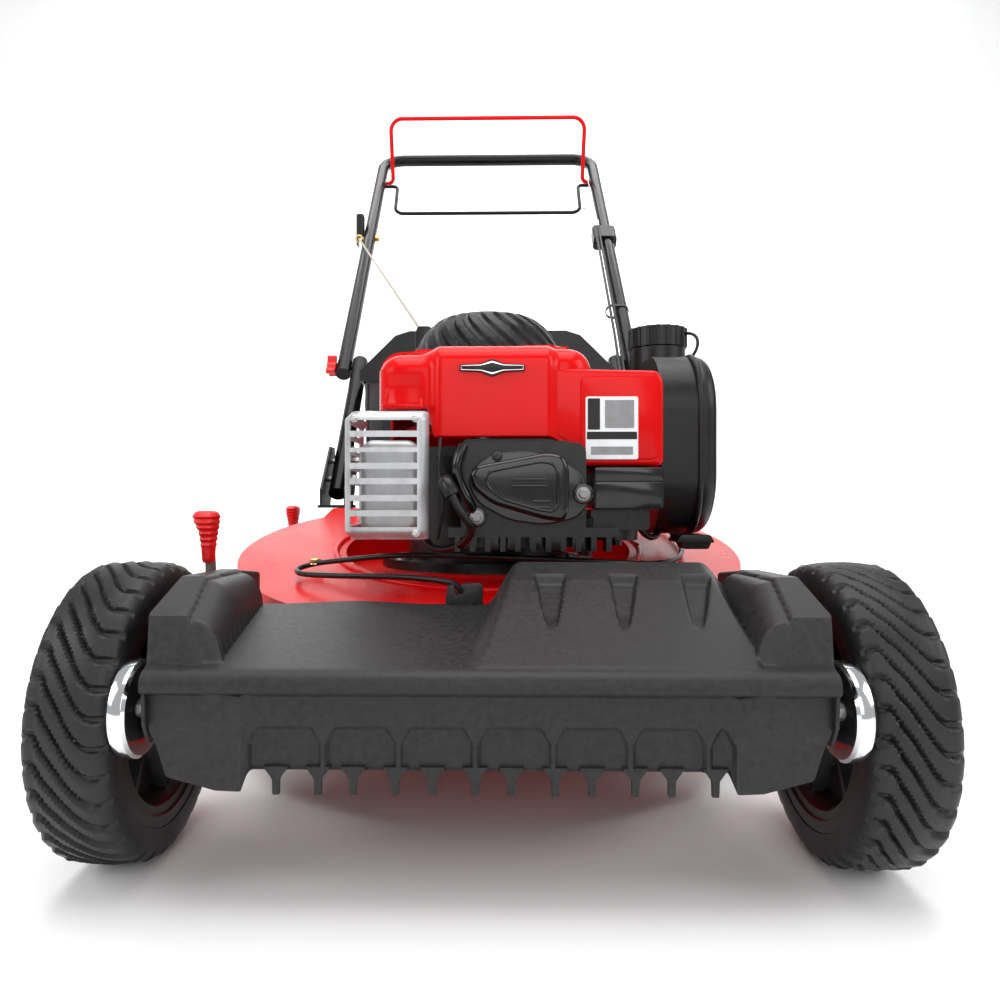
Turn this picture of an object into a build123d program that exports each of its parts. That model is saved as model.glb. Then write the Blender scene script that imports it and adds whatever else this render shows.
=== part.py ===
"""Walk-behind rotary mower with powered front wheels, rear bag and folding handle.

Millimetres, +Z up.  The front of the machine faces -Y, the operator stands at
+Y.  The origin is on the ground under the middle of the machine.
Distances along the machine are given as u, measured rearwards from the front
axle; Y(u) turns them into the frame's y.
"""
from build123d import *
import os
import math

os.makedirs("parts", exist_ok=True)

# ------------------------------------------------------------ driving dimensions
YF = -602.5                 # front axle, y
WHEELBASE = 590.0           # front axle to rear axle
AXLE_Z = 102.0              # axle height at the middle cutting height
TYRE_R = 102.0              # 8 inch wheel
TYRE_XI, TYRE_XO = 220.0, 274.0
RIM_R = 78.0
CRANK_U = 294.0             # engine and blade axis
DECK_R = 258.0              # outside of the round cutting chamber
DECK_WALL = 3.0
DECK_Z0 = 48.0
PLATFORM_Z = 178.0          # engine platform
PLATFORM_R = 150.0
SHOULDER_X = 208.0          # half width of the deck behind the chamber
SHOULDER_Z = 236.0
BLADE_L, BLADE_W, BLADE_T = 494.0, 57.0, 3.5
COVER_X = 205.0             # half width of the front cover
ARM_L = 60.0                # height arms, pivot to axle
ARM_DU, ARM_DZ = 59.2, 10.0
ARM_X0, ARM_X1 = 210.5, 214.5
PIN_R = 5.0                 # arm pivot pins
AXLE_R = 6.5
SHAFT_U, SHAFT_Z = -80.0, 122.0     # wheel drive shaft
HANDLE_D = 25.4
HANDLE_DEG = 47.8           # slope of the handle from the ground
HANDLE_X = 243.3            # centre of the upper handle legs
LOWER_X = 217.3             # centre of the lower handle legs
FOLD_U, FOLD_Z = 775.0, 472.0       # handle fold
BAR_S = 781.0               # fold to crossbar, along the handle
ROPE_D = 4.0
CABLE_D = 5.0
FIT = 0.08                  # radial play on pins and shafts
PIVOT_FU, PIVOT_RU = ARM_DU, WHEELBASE - ARM_DU
PIVOT_Z = AXLE_Z + ARM_DZ


def Y(u):
    return YF + u


def along(s, off=0.0):
    """(u, z) at a distance s up the handle from the fold, off it squarely."""
    a = math.radians(HANDLE_DEG)
    return (FOLD_U + s * math.cos(a) - off * math.sin(a),
            FOLD_Z + s * math.sin(a) + off * math.cos(a))


def side(pts):
    """Points (u, z) for a sketch on a plane parallel to YZ."""
    return [(Y(u), z) for u, z in pts]


def save(part, name):
    part.label = name
    export_step(part, "parts/%s.step" % name)


# ------------------------------------------------------------ cutting deck
# the top of the chamber slopes up rearwards, from DECK_F to SHOULDER_Z
DECK_F = 150.0
SLOPE = (SHOULDER_Z - DECK_F) / (500.0 - 36.0)


def roof(u, drop=0.0):
    """Height of the sloping deck top at u."""
    return min(DECK_F + (u - 36.0) * SLOPE, SHOULDER_Z) - drop


with BuildPart() as deck_room:
    with BuildSketch(Plane.XY.offset(DECK_Z0 - 5)):
        with Locations((0, Y(CRANK_U))):
            Circle(DECK_R - DECK_WALL)
    extrude(amount=220)
    with BuildSketch(Plane.YZ.offset(-300)):
        with BuildLine():
            Polyline(*side([(20, 43), (20, roof(20, 3)), (499, roof(499, 3)), (620, SHOULDER_Z - 3), (620, 43)]), close=True)
        make_face()
    extrude(amount=600, mode=Mode.INTERSECT)
    fillet(deck_room.faces().sort_by(Axis.Z)[-1].edges().sort_by(SortBy.LENGTH)[-1], 20)
    with BuildSketch(Plane.YZ.offset(-SHOULDER_X + DECK_WALL)):
        with BuildLine():
            Polyline(*side([(335, 43), (538, 43), (588.5, 142), (599, 142), (599, SHOULDER_Z - 3),
                            (499, roof(499, 3)), (335, roof(335, 3))]), close=True)
        make_face()
    extrude(amount=2 * (SHOULDER_X - DECK_WALL))
    with BuildSketch(Plane.XY.offset(PLATFORM_Z - DECK_WALL)):
        with Locations((0, Y(CRANK_U))):
            Circle(PLATFORM_R + DECK_WALL)
    extrude(amount=80, mode=Mode.SUBTRACT)
    with BuildSketch(Plane.XY.offset(140)):
        with Locations((0, Y(CRANK_U))):
            Circle(122)
    extrude(amount=PLATFORM_Z - DECK_WALL - 140)

with BuildPart() as deck_shell:
    with BuildSketch(Plane.XY.offset(DECK_Z0)):
        with Locations((0, Y(CRANK_U))):
            Circle(DECK_R)
    extrude(amount=220)
    with BuildSketch(Plane.YZ.offset(-300)):
        with BuildLine():
            Polyline(*side([(20, 40), (20, roof(20)), (500, roof(500)), (620, SHOULDER_Z), (620, 40)]), close=True)
        make_face()
    extrude(amount=600, mode=Mode.INTERSECT)
    fillet(deck_shell.faces().sort_by(Axis.Z)[-1].edges().sort_by(SortBy.LENGTH)[-1], 23)
    with BuildSketch(Plane.YZ.offset(-SHOULDER_X)):
        with BuildLine():
            Polyline(*side([(332, 48), (542, 48), (590.5, 139), (602, 139), (602, SHOULDER_Z),
                            (500, SHOULDER_Z), (332, roof(332))]), close=True)
        make_face()
    extrude(amount=2 * SHOULDER_X)
    with BuildSketch(Plane.XY.offset(140)):
        with Locations((0, Y(CRANK_U))):
            Circle(125)
    extrude(amount=PLATFORM_Z - 140)
    add(deck_room.part, mode=Mode.SUBTRACT)
    # engine platform, sunk into the ring behind and a low boss in front
    with BuildSketch(Plane.XY.offset(PLATFORM_Z)):
        with Locations((0, Y(CRANK_U))):
            Circle(PLATFORM_R)
    extrude(amount=80, mode=Mode.SUBTRACT)
    with BuildSketch(Plane.XY.offset(PLATFORM_Z - 10)):
        with Locations((0, Y(CRANK_U))):
            Circle(24)
    extrude(amount=30, mode=Mode.SUBTRACT)
    # ears and rod for the rear door
    for sx in (-1, 1):
        with BuildSketch(Plane.YZ.offset(sx * 169.5 - 1.5)):
            with BuildLine():
                Polyline(*side([(590, 234), (602, 234), (612, 240), (612, 249), (600, 249)]), close=True)
            make_face()
        extrude(amount=3)
    with BuildSketch(Plane.YZ.offset(-171)):
        with Locations((Y(606), 243)):
            Circle(3)
    extrude(amount=342)
    # grass outlet to the bag, and the belt slot in the front wall
    with BuildSketch(Plane.XZ.offset(-Y(590))):
        with Locations((0, 187)):
            Rectangle(300, 84)
    extrude(amount=-30, mode=Mode.SUBTRACT)
    with BuildSketch(Plane.XZ.offset(-Y(30))):
        with Locations((45, 140.5)):
            Rectangle(150, 13)
    extrude(amount=-40, mode=Mode.SUBTRACT)
    # cheeks that carry the front pivots, joined to the chamber wall
    for sx in (-1, 1):
        with BuildSketch(Plane.YZ.offset(sx * 198 - 2)):
            with BuildLine():
                Polyline(*side([(40, 96), (138, 96), (138, 150), (40, 146)]), close=True)
            make_face()
        extrude(amount=4)
    # pivot pins
    for sx in (-1, 1):
        with BuildSketch(Plane.YZ.offset(sx * 197)):
            with Locations((Y(PIVOT_FU), PIVOT_Z)):
                Circle(PIN_R)
        extrude(amount=sx * 18.5)
        with BuildSketch(Plane.YZ.offset(sx * 206)):
            with Locations((Y(PIVOT_RU), PIVOT_Z)):
                Circle(PIN_R)
        extrude(amount=sx * 9.5)
save(deck_shell.part, "deck_shell")

# ------------------------------------------------------------ front cover
TINE_X = [-121.3, -97.1, -76.8, -52.6, -31.5, -7.0, 13.8, 38.6, 59.7, 84.1, 104.7, 129.4]
with BuildPart() as cover_room:
    with BuildSketch(Plane.YZ.offset(-COVER_X + 3)):
        with BuildLine():
            Polyline(*side([(-104, 60), (-104, 137), (-95, 146.5), (110, 171), (115, 171), (115, 60)]), close=True)
        make_face()
    extrude(amount=2 * (COVER_X - 3))
    for sx in (-1, 1):
        with BuildSketch(Plane.YZ.offset(sx * 188.5 - 11.5)):
            with BuildLine():
                Polyline(*side([(-57, 120), (-57, 174), (-52, 177), (115, 186), (115, 120)]), close=True)
            make_face()
        extrude(amount=23)
    with BuildSketch(Plane.YZ.offset(3)):
        with BuildLine():
            Polyline(*side([(-50, 120), (-50, 152), (14, 184.5), (92, 197), (115, 197), (115, 120)]), close=True)
        make_face()
    extrude(amount=151)

with BuildPart() as front_cover:
    with BuildSketch(Plane.YZ.offset(-COVER_X)):
        with BuildLine():
            Polyline(*side([(-107, 95), (-107, 139), (-97, 149.8), (110, 174.5), (110, 95)]), close=True)
        make_face()
    extrude(amount=2 * COVER_X)
    for sx in (-1, 1):
        # raised fender box and the deeper corner block
        with BuildSketch(Plane.YZ.offset(sx * 188.5 - 14.5)):
            with BuildLine():
                Polyline(*side([(-60, 130), (-60, 176), (-55, 180.2), (110, 189.2), (110, 130)]), close=True)
            make_face()
        extrude(amount=29)
        with BuildSketch(Plane.YZ.offset(sx * 174 - 29)):
            with BuildLine():
                Polyline(*side([(-107, 100), (-107, 83), (-98, 80), (-30, 80), (-10, 100)]), close=True)
            make_face()
        extrude(amount=58)
    # belt and gear hump
    with BuildSketch(Plane.YZ):
        with BuildLine():
            Polyline(*side([(-56, 130), (-56, 154), (14, 188), (94, 201), (110, 201), (110, 130)]), close=True)
        make_face()
    extrude(amount=157)
    add(cover_room.part, mode=Mode.SUBTRACT)
    # comb of grass tines under the panel
    for x in TINE_X:
        with BuildSketch(Plane.XZ.offset(-Y(-106.8))):
            with BuildLine():
                Polyline((x - 7, 99), (x + 7, 99), (x + 1.9, 90), (x + 1.9, 80.5), (x - 1.9, 80.5), (x - 1.9, 90), close=True)
            make_face()
        extrude(amount=-3.6)
    # clearance for the front pivot pins and the drive shaft
    for sx in (-1, 1):
        with BuildSketch(Plane.YZ.offset(sx * 200)):
            with Locations((Y(PIVOT_FU), PIVOT_Z)):
                Circle(PIN_R + 0.6)
            with Locations((Y(SHAFT_U), SHAFT_Z)):
                Circle(7.5)
        extrude(amount=sx * 8, mode=Mode.SUBTRACT)
        # arch over the axle, for its travel
        with BuildSketch(Plane.YZ.offset(sx * 200)):
            with Locations((Y(9), 88)):
                Rectangle(44, 68)
        extrude(amount=sx * 8, mode=Mode.SUBTRACT)
save(front_cover.part, "front_cover")

# polished dish over each end of the drive shaft
with BuildPart() as shaft_covers:
    for sx in (-1, 1):
        with BuildSketch(Plane.YZ.offset(sx * 205.4)):
            with Locations((Y(SHAFT_U), SHAFT_Z)):
                Circle(30)
        extrude(amount=sx * 13.8)
    fillet(shaft_covers.edges().filter_by(GeomType.CIRCLE).group_by(Axis.X)[0]
           + shaft_covers.edges().filter_by(GeomType.CIRCLE).group_by(Axis.X)[-1], 9)
    for sx in (-1, 1):
        with BuildSketch(Plane.YZ.offset(sx * 205.3)):
            with Locations((Y(SHAFT_U), SHAFT_Z)):
                Circle(20)
        extrude(amount=sx * 11.6, mode=Mode.SUBTRACT)
save(shaft_covers.part, "shaft_covers")

# ------------------------------------------------------------ wheel drive
BELT_Z = 141.0
IN_X, IN_U, IN_R = 80.0, -25.0, 32.0
with BuildPart() as gear_case:
    with BuildSketch(Plane.XY.offset(100)):
        with Locations((80, Y(-55))):
            RectangleRounded(70, 84, 12)
    extrude(amount=33)
    fillet(gear_case.faces().sort_by(Axis.Z)[0].edges(), 5)
    with BuildSketch(Plane.YZ.offset(35)):
        with Locations((Y(SHAFT_U), SHAFT_Z - 3)):
            Circle(17)
    extrude(amount=90)
    with BuildSketch(Plane.XY.offset(133)):
        with Locations((IN_X, Y(IN_U))):
            Circle(9)
    extrude(amount=2.5)
    with BuildSketch(Plane.XY.offset(130)):
        with Locations((IN_X, Y(IN_U))):
            Circle(5)
    extrude(amount=17)
    with BuildSketch(Plane.YZ.offset(30)):
        with Locations((Y(SHAFT_U), SHAFT_Z)):
            Circle(6 + FIT)
    extrude(amount=110, mode=Mode.SUBTRACT)
save(gear_case.part, "gear_case")

with BuildPart() as input_pulley:
    with BuildSketch(Plane.XZ.offset(-Y(IN_U))):
        with BuildLine():
            Polyline((IN_X + 5 + FIT, 135.8), (IN_X + 32, 135.8), (IN_X + 32, 137), (IN_X + 27, 138.2),
                     (IN_X + 27, 143.8), (IN_X + 32, 145), (IN_X + 32, 146.2), (IN_X + 5 + FIT, 146.2), close=True)
        make_face()
    revolve(axis=Axis((IN_X, Y(IN_U), 0), (0, 0, 1)), revolution_arc=360)
save(input_pulley.part, "input_pulley")

with BuildPart() as drive_shaft:
    with BuildSketch(Plane.YZ.offset(-212)):
        with Locations((Y(SHAFT_U), SHAFT_Z)):
            Circle(6)
    extrude(amount=424)
    for x in (-211, 201):
        with BuildSketch(Plane.YZ.offset(x + (0 if x < 0 else 4.5))):
            with Locations((Y(SHAFT_U), SHAFT_Z)):
                Circle(6)
        extrude(amount=5)
save(drive_shaft.part, "drive_shaft")

PUL_R = 26.0
with BuildPart() as belt_core:
    with BuildSketch(Plane.XY.offset(BELT_Z - 2.4)):
        with BuildLine():
            CenterArc((IN_X, Y(IN_U)), 27.6, 0, 360)
            CenterArc((0, Y(CRANK_U)), PUL_R - 4.4, 0, 360)
        make_hull()
    extrude(amount=4.8)
with BuildPart() as drive_belt:
    with BuildSketch(Plane.XY.offset(BELT_Z - 2.4)):
        with BuildLine():
            CenterArc((IN_X, Y(IN_U)), 33.6, 0, 360)
            CenterArc((0, Y(CRANK_U)), PUL_R + 1.6, 0, 360)
        make_hull()
    extrude(amount=4.8)
    add(belt_core.part, mode=Mode.SUBTRACT)
save(drive_belt.part, "drive_belt")

# ------------------------------------------------------------ crank train and blade
with BuildPart() as crankshaft:
    with BuildSketch(Plane.XY.offset(67)):
        with Locations((0, Y(CRANK_U))):
            Circle(12.5)
    extrude(amount=297)
save(crankshaft.part, "crankshaft")

with BuildPart() as flywheel:
    with BuildSketch(Plane.XY.offset(322)):
        with Locations((0, Y(CRANK_U))):
            Circle(86)
            Circle(12.5, mode=Mode.SUBTRACT)
    extrude(amount=20)
    with BuildSketch(Plane.XY.offset(342)):
        with Locations((0, Y(CRANK_U))):
            with PolarLocations(62, 14):
                Rectangle(34, 3)
    extrude(amount=16)
save(flywheel.part, "flywheel")

with BuildPart() as drive_pulley:
    with BuildSketch(Plane.XZ.offset(-Y(CRANK_U))):
        with BuildLine():
            Polyline((12.5, 132), (PUL_R, 132), (PUL_R, 137), (PUL_R - 5, 138.2), (PUL_R - 5, 143.8),
                     (PUL_R, 145), (PUL_R, 148), (12.5, 148), close=True)
        make_face()
    revolve(axis=Axis((0, Y(CRANK_U), 0), (0, 0, 1)), revolution_arc=360)
save(drive_pulley.part, "drive_pulley")

with BuildPart() as blade_adapter:
    with BuildSketch(Plane.XY.offset(70)):
        with Locations((0, Y(CRANK_U))):
            Circle(19)
            Circle(12.5, mode=Mode.SUBTRACT)
    extrude(amount=42)
    with BuildSketch(Plane.XY.offset(63.5)):
        with Locations((0, Y(CRANK_U))):
            Rectangle(86, 44)
    extrude(amount=3.5)
    with BuildSketch(Plane.XY.offset(67)):
        with Locations((0, Y(CRANK_U))):
            Rectangle(86, 44)
            Circle(12.5, mode=Mode.SUBTRACT)
    extrude(amount=3)
save(blade_adapter.part, "blade_adapter")

with BuildPart() as blade:
    with BuildSketch(Plane.XY.offset(60)):
        with Locations((0, Y(CRANK_U))):
            RectangleRounded(BLADE_L, BLADE_W, 6)
            with Locations((195, 36), (-195, -36)):
                Rectangle(110, 30, mode=Mode.SUBTRACT)
    extrude(amount=BLADE_T)
    # raised sails behind the cutting tips
    for s in (-1, 1):
        with BuildSketch(Plane.YZ.offset(s * 206 - 38)):
            with BuildLine():
                Polyline((Y(CRANK_U) - s * 17, 60.5), (Y(CRANK_U) - s * 24, 60.5), (Y(CRANK_U) - s * 36, 75),
                         (Y(CRANK_U) - s * 33, 77), (Y(CRANK_U) - s * 22, 63.5), (Y(CRANK_U) - s * 17, 63.5), close=True)
            make_face()
        extrude(amount=76)
save(blade.part, "blade")

with BuildPart() as blade_bolt:
    with BuildSketch(Plane.XY.offset(51)):
        with Locations((0, Y(CRANK_U))):
            RegularPolygon(11, 6)
    extrude(amount=7)
    with BuildSketch(Plane.XY.offset(58)):
        with Locations((0, Y(CRANK_U))):
            Circle(16)
    extrude(amount=2)
save(blade_bolt.part, "blade_bolt")

# ------------------------------------------------------------ engine
with BuildPart() as crankcase:
    with BuildSketch(Plane.XY.offset(PLATFORM_Z)):
        with Locations((0, Y(CRANK_U))):
            Circle(112)
    extrude(amount=9)
    with BuildSketch(Plane.XY.offset(PLATFORM_Z)):
        with Locations((0, Y(CRANK_U))):
            Circle(84)
    extrude(amount=122)
    with BuildSketch(Plane.XY.offset(PLATFORM_Z + 10)):
        with Locations((0, Y(CRANK_U))):
            Circle(74)
    extrude(amount=104, mode=Mode.SUBTRACT)
    with BuildSketch(Plane.XY.offset(PLATFORM_Z - 12)):
        with Locations((0, Y(CRANK_U))):
            Circle(22)
    extrude(amount=14)
    with BuildSketch(Plane.XY.offset(PLATFORM_Z - 14)):
        with Locations((0, Y(CRANK_U))):
            Circle(12.5 + FIT)
    extrude(amount=160, mode=Mode.SUBTRACT)
save(crankcase.part, "crankcase")

with BuildPart() as engine_bolts:
    for k in range(3):
        a = math.radians(90 + 120 * k)
        with BuildSketch(Plane.XY.offset(PLATFORM_Z + 9)):
            with Locations((98 * math.cos(a), Y(CRANK_U) + 98 * math.sin(a))):
                RegularPolygon(8, 6)
        extrude(amount=7)
    # and the two of the valve cover
    for x, z in [(-9, 230), (83, 288)]:
        with BuildSketch(Plane.XZ.offset(-Y(104))):
            with Locations((x, z)):
                RegularPolygon(6, 6)
        extrude(amount=9)
save(engine_bolts.part, "engine_bolts")

CYL_X, CYL_Z = 30.0, 256.0
with BuildPart() as cylinder_block:
    with BuildSketch(Plane.XZ.offset(-Y(126))):
        with Locations((CYL_X, CYL_Z)):
            RectangleRounded(92, 84, 10)
    extrude(amount=-86)
    for i in range(7):
        with BuildSketch(Plane.XZ.offset(-Y(130 + 11 * i))):
            with Locations((CYL_X - 1, CYL_Z - 3)):
                RectangleRounded(104, 94, 8)
        extrude(amount=-4)
    with BuildSketch(Plane.XZ.offset(-Y(125))):
        with Locations((CYL_X, CYL_Z)):
            Circle(32.5)
    extrude(amount=-80, mode=Mode.SUBTRACT)
    with BuildSketch(Plane.XY.offset(190)):
        with Locations((0, Y(CRANK_U))):
            Circle(84)
    extrude(amount=120, mode=Mode.SUBTRACT)
save(cylinder_block.part, "cylinder_block")

with BuildPart() as cylinder_head:
    with BuildSketch(Plane.XZ.offset(-Y(104))):
        with Locations((CYL_X, CYL_Z)):
            RectangleRounded(104, 78, 9)
    extrude(amount=-22)
    for i in range(11):
        with BuildSketch(Plane.XZ.offset(-Y(104))):
            with Locations((CYL_X - 55 + 12.6 * i, 214)):
                Rectangle(4.5, 20)
        extrude(amount=-20)
    with BuildSketch(Plane.XZ.offset(-Y(104))):
        with Locations((CYL_X + 8, 220)):
            Rectangle(142, 8)
    extrude(amount=-20)
save(cylinder_head.part, "cylinder_head")

COVER_PTS = [(-17, 262), (-10, 277), (6, 286), (34, 288), (66, 279), (80, 266), (83, 243),
             (74, 232), (48, 226), (18, 230), (-8, 244)]
with BuildPart() as valve_cover:
    with BuildSketch(Plane.XZ.offset(-Y(104))):
        with BuildLine():
            Polyline(*COVER_PTS, close=True)
        make_face()
        offset(amount=4)
    extrude(amount=4)
    with BuildSketch(Plane.XZ.offset(-Y(100))):
        with BuildLine():
            Polyline(*COVER_PTS, close=True)
        make_face()
        offset(amount=-3)
    extrude(amount=13, taper=12)
save(valve_cover.part, "valve_cover")

with BuildPart() as spark_plug:
    with BuildSketch(Plane.XZ.offset(-Y(104))):
        with Locations((-34, 262)):
            RegularPolygon(10.4, 6)
    extrude(amount=9)
    with BuildSketch(Plane.XZ.offset(-Y(95))):
        with Locations((-34, 262)):
            Circle(8.5)
    extrude(amount=14)
save(spark_plug.part, "spark_plug")

# sheet shroud over flywheel and cylinder, open underneath
with BuildPart() as shroud_room:
    with BuildSketch(Plane.XY.offset(290)):
        with Locations((-3, Y(215))):
            Rectangle(182, 164)
        with Locations((0, Y(CRANK_U))):
            Circle(121)
    extrude(amount=92)
    with BuildSketch(Plane.XY.offset(270)):
        with Locations((112, Y(231))):
            Rectangle(64, 192)
    extrude(amount=82)
with BuildPart() as blower_housing:
    with BuildSketch(Plane.XY.offset(301)):
        with Locations((-3.5, Y(215))):
            Rectangle(187, 170)
        with Locations((0, Y(CRANK_U))):
            Circle(124)
    extrude(amount=84)
    fillet(blower_housing.faces().sort_by(Axis.Z)[-1].edges(), 8)
    with BuildSketch(Plane.XY.offset(277)):
        with Locations((115.5, Y(231))):
            Rectangle(63, 198)
    extrude(amount=78)
    add(shroud_room.part, mode=Mode.SUBTRACT)
    # raised edge over the muffler
    with BuildSketch(Plane.XY.offset(290)):
        with Locations((-86, Y(162))):
            Rectangle(80, 88)
    extrude(amount=34, mode=Mode.SUBTRACT)
    with BuildSketch(Plane.XY.offset(380)):
        with Locations((0, Y(CRANK_U))):
            Circle(66)
    extrude(amount=8, mode=Mode.SUBTRACT)
save(blower_housing.part, "blower_housing")

with BuildPart() as recoil_cover:
    with BuildSketch(Plane.XY.offset(385)):
        with Locations((0, Y(CRANK_U))):
            Circle(84)
    extrude(amount=6)
    with BuildSketch(Plane.XY.offset(391)):
        with Locations((0, Y(CRANK_U))):
            Circle(80)
    extrude(amount=52, taper=14)
    fillet(recoil_cover.faces().sort_by(Axis.Z)[-1].edges(), 14)
    with BuildSketch(Plane.XY.offset(384)):
        with Locations((0, Y(CRANK_U))):
            Circle(74)
    extrude(amount=52, taper=14, mode=Mode.SUBTRACT)
    # rope outlet
    with BuildSketch(Plane.XY.offset(391)):
        with Locations((-68, Y(312))):
            Rectangle(22, 18)
    extrude(amount=46)
    with BuildSketch(Plane.XY.offset(384)):
        with Locations((0, Y(CRANK_U))):
            Circle(60)
    extrude(amount=46, mode=Mode.SUBTRACT)
save(recoil_cover.part, "recoil_cover")

with BuildPart() as muffler:
    with BuildSketch(Plane.XZ.offset(-Y(112))):
        with Locations((-83, 258)):
            RectangleRounded(52, 80, 12)
    extrude(amount=-92)
    fillet(muffler.edges().group_by(Axis.Y)[0], 7)
save(muffler.part, "muffler")

with BuildPart() as muffler_guard:
    with BuildSketch(Plane.XZ.offset(-Y(94))):
        with Locations((-84.5, 267.5)):
            RectangleRounded(69, 107, 14)
    extrude(amount=-106)
    with BuildSketch(Plane.XZ.offset(-Y(97))):
        with Locations((-83.5, 267.5)):
            RectangleRounded(64, 101, 12)
    extrude(amount=-110, mode=Mode.SUBTRACT)
    for i in range(7):
        with BuildSketch(Plane.XZ.offset(-Y(90))):
            with Locations((-82, 229 + 13.2 * i)):
                Rectangle(40, 7.5)
        extrude(amount=-10, mode=Mode.SUBTRACT)
save(muffler_guard.part, "muffler_guard")

with BuildPart() as air_cleaner_box:
    with BuildSketch(Plane.XZ.offset(-Y(118))):
        with Locations((120, 257)):
            RectangleRounded(59, 36, 6)
    extrude(amount=-130)
save(air_cleaner_box.part, "air_cleaner_box")

with BuildPart() as carburetor:
    with BuildSketch(Plane.XZ.offset(-Y(126))):
        with Locations((114, 230)):
            RectangleRounded(50, 17.5, 3)
    extrude(amount=-46)
    with BuildSketch(Plane.XY.offset(212)):
        with Locations((114, Y(149))):
            Circle(19)
    extrude(amount=10)
    with BuildSketch(Plane.XY.offset(207)):
        with Locations((114, Y(149))):
            Circle(5)
    extrude(amount=6)
save(carburetor.part, "carburetor")

with BuildPart() as fuel_tank:
    with BuildSketch(Plane.YZ.offset(155)):
        with Locations((Y(250), 299.5)):
            RectangleRounded(196, 169, 56)
    extrude(amount=52)
    fillet(fuel_tank.faces().sort_by(Axis.X)[-1].edges(), 12)
    with BuildSketch(Plane.YZ.offset(158)):
        with Locations((Y(250), 299.5)):
            RectangleRounded(190, 163, 53)
    extrude(amount=46, mode=Mode.SUBTRACT)
    with BuildSketch(Plane.XY.offset(370)):
        with Locations((178, Y(276))):
            Circle(28.5)
    extrude(amount=34)
    with BuildSketch(Plane.XY.offset(366)):
        with Locations((178, Y(276))):
            Circle(20)
    extrude(amount=40, mode=Mode.SUBTRACT)
    # mounting feet to the blower housing
    for z in (300, 330):
        with BuildSketch(Plane.YZ.offset(147)):
            with Locations((Y(210), z)):
                Rectangle(30, 10)
        extrude(amount=9)
save(fuel_tank.part, "fuel_tank")

with BuildPart() as fuel_cap:
    with BuildSketch(Plane.XY.offset(405)):
        with Locations((178, Y(276))):
            Circle(29)
            with PolarLocations(29, 18):
                Circle(1.6)
    extrude(amount=20)
    with BuildSketch(Plane.XY.offset(396)):
        with Locations((178, Y(276))):
            Circle(19.6)
    extrude(amount=9)
save(fuel_cap.part, "fuel_cap")

# ------------------------------------------------------------ axles, levers, wheels
with BuildPart() as front_axle:
    with BuildSketch(Plane.YZ.offset(-269)):
        with Locations((Y(0), AXLE_Z)):
            Circle(AXLE_R)
    extrude(amount=538)
    for sx in (-1, 1):
        with BuildSketch(Plane.YZ.offset(sx * 212.5 - 2)):
            with BuildLine():
                CenterArc((Y(0), AXLE_Z), 13, 0, 360)
                CenterArc((Y(PIVOT_FU), PIVOT_Z), 12, 0, 360)
            make_hull()
            with Locations((Y(PIVOT_FU), PIVOT_Z)):
                Circle(PIN_R + FIT, mode=Mode.SUBTRACT)
        extrude(amount=4)
        with BuildSketch(Plane.YZ.offset(sx * 217 - 2.5)):
            with Locations((Y(0), AXLE_Z)):
                Circle(11)
        extrude(amount=5)
    # height lever on the one side
    with BuildSketch(Plane.YZ.offset(-214.5)):
        with BuildLine():
            Polyline(*side([(51, 114), (66, 114), (54, 206), (42, 206)]), close=True)
        make_face()
        with Locations((Y(PIVOT_FU), PIVOT_Z)):
            Circle(PIN_R + FIT, mode=Mode.SUBTRACT)
    extrude(amount=4)
save(front_axle.part, "front_axle")

with BuildPart() as front_height_knob:
    with BuildSketch(Plane.YZ.offset(-219.2)):
        with BuildLine():
            Polyline(*side([(36, 200), (58, 200), (58, 232), (53, 239), (41, 239), (34, 230)]), close=True)
        make_face()
    extrude(amount=12.4)
    fillet(front_height_knob.edges(), 1.6)
    with BuildSketch(Plane.YZ.offset(-214.5)):
        with BuildLine():
            Polyline(*side([(51, 114), (66, 114), (54, 206), (42, 206)]), close=True)
        make_face()
    extrude(amount=4, mode=Mode.SUBTRACT)
save(front_height_knob.part, "front_height_knob")

RU = WHEELBASE
with BuildPart() as rear_axle:
    with BuildSketch(Plane.YZ.offset(-269)):
        with Locations((Y(RU), AXLE_Z)):
            Circle(AXLE_R)
    extrude(amount=538)
    for sx in (-1, 1):
        with BuildSketch(Plane.YZ.offset(sx * 212.5 - 2)):
            with BuildLine():
                CenterArc((Y(RU), AXLE_Z), 13, 0, 360)
                CenterArc((Y(PIVOT_RU), PIVOT_Z), 12, 0, 360)
            make_hull()
            with Locations((Y(PIVOT_RU), PIVOT_Z)):
                Circle(PIN_R + FIT, mode=Mode.SUBTRACT)
        extrude(amount=4)
        with BuildSketch(Plane.YZ.offset(sx * 217 - 2.5)):
            with Locations((Y(RU), AXLE_Z)):
                Circle(11)
        extrude(amount=5)
    with BuildSketch(Plane.YZ.offset(-214.5)):
        with BuildLine():
            Polyline(*side([(524, 116), (537, 118), (484, 196), (472, 190)]), close=True)
        make_face()
        with Locations((Y(PIVOT_RU), PIVOT_Z)):
            Circle(PIN_R + FIT, mode=Mode.SUBTRACT)
    extrude(amount=4)
    # outward jog over the tyre, then the upright that carries the knob
    with BuildSketch(Plane.XZ.offset(-Y(466))):
        with BuildLine():
            Polyline((-210.5, 186), (-214.5, 184), (-256, 203), (-256, 214), (-252, 214), (-252, 206), (-210.5, 192), close=True)
        make_face()
    extrude(amount=-16)
save(rear_axle.part, "rear_axle")

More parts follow.
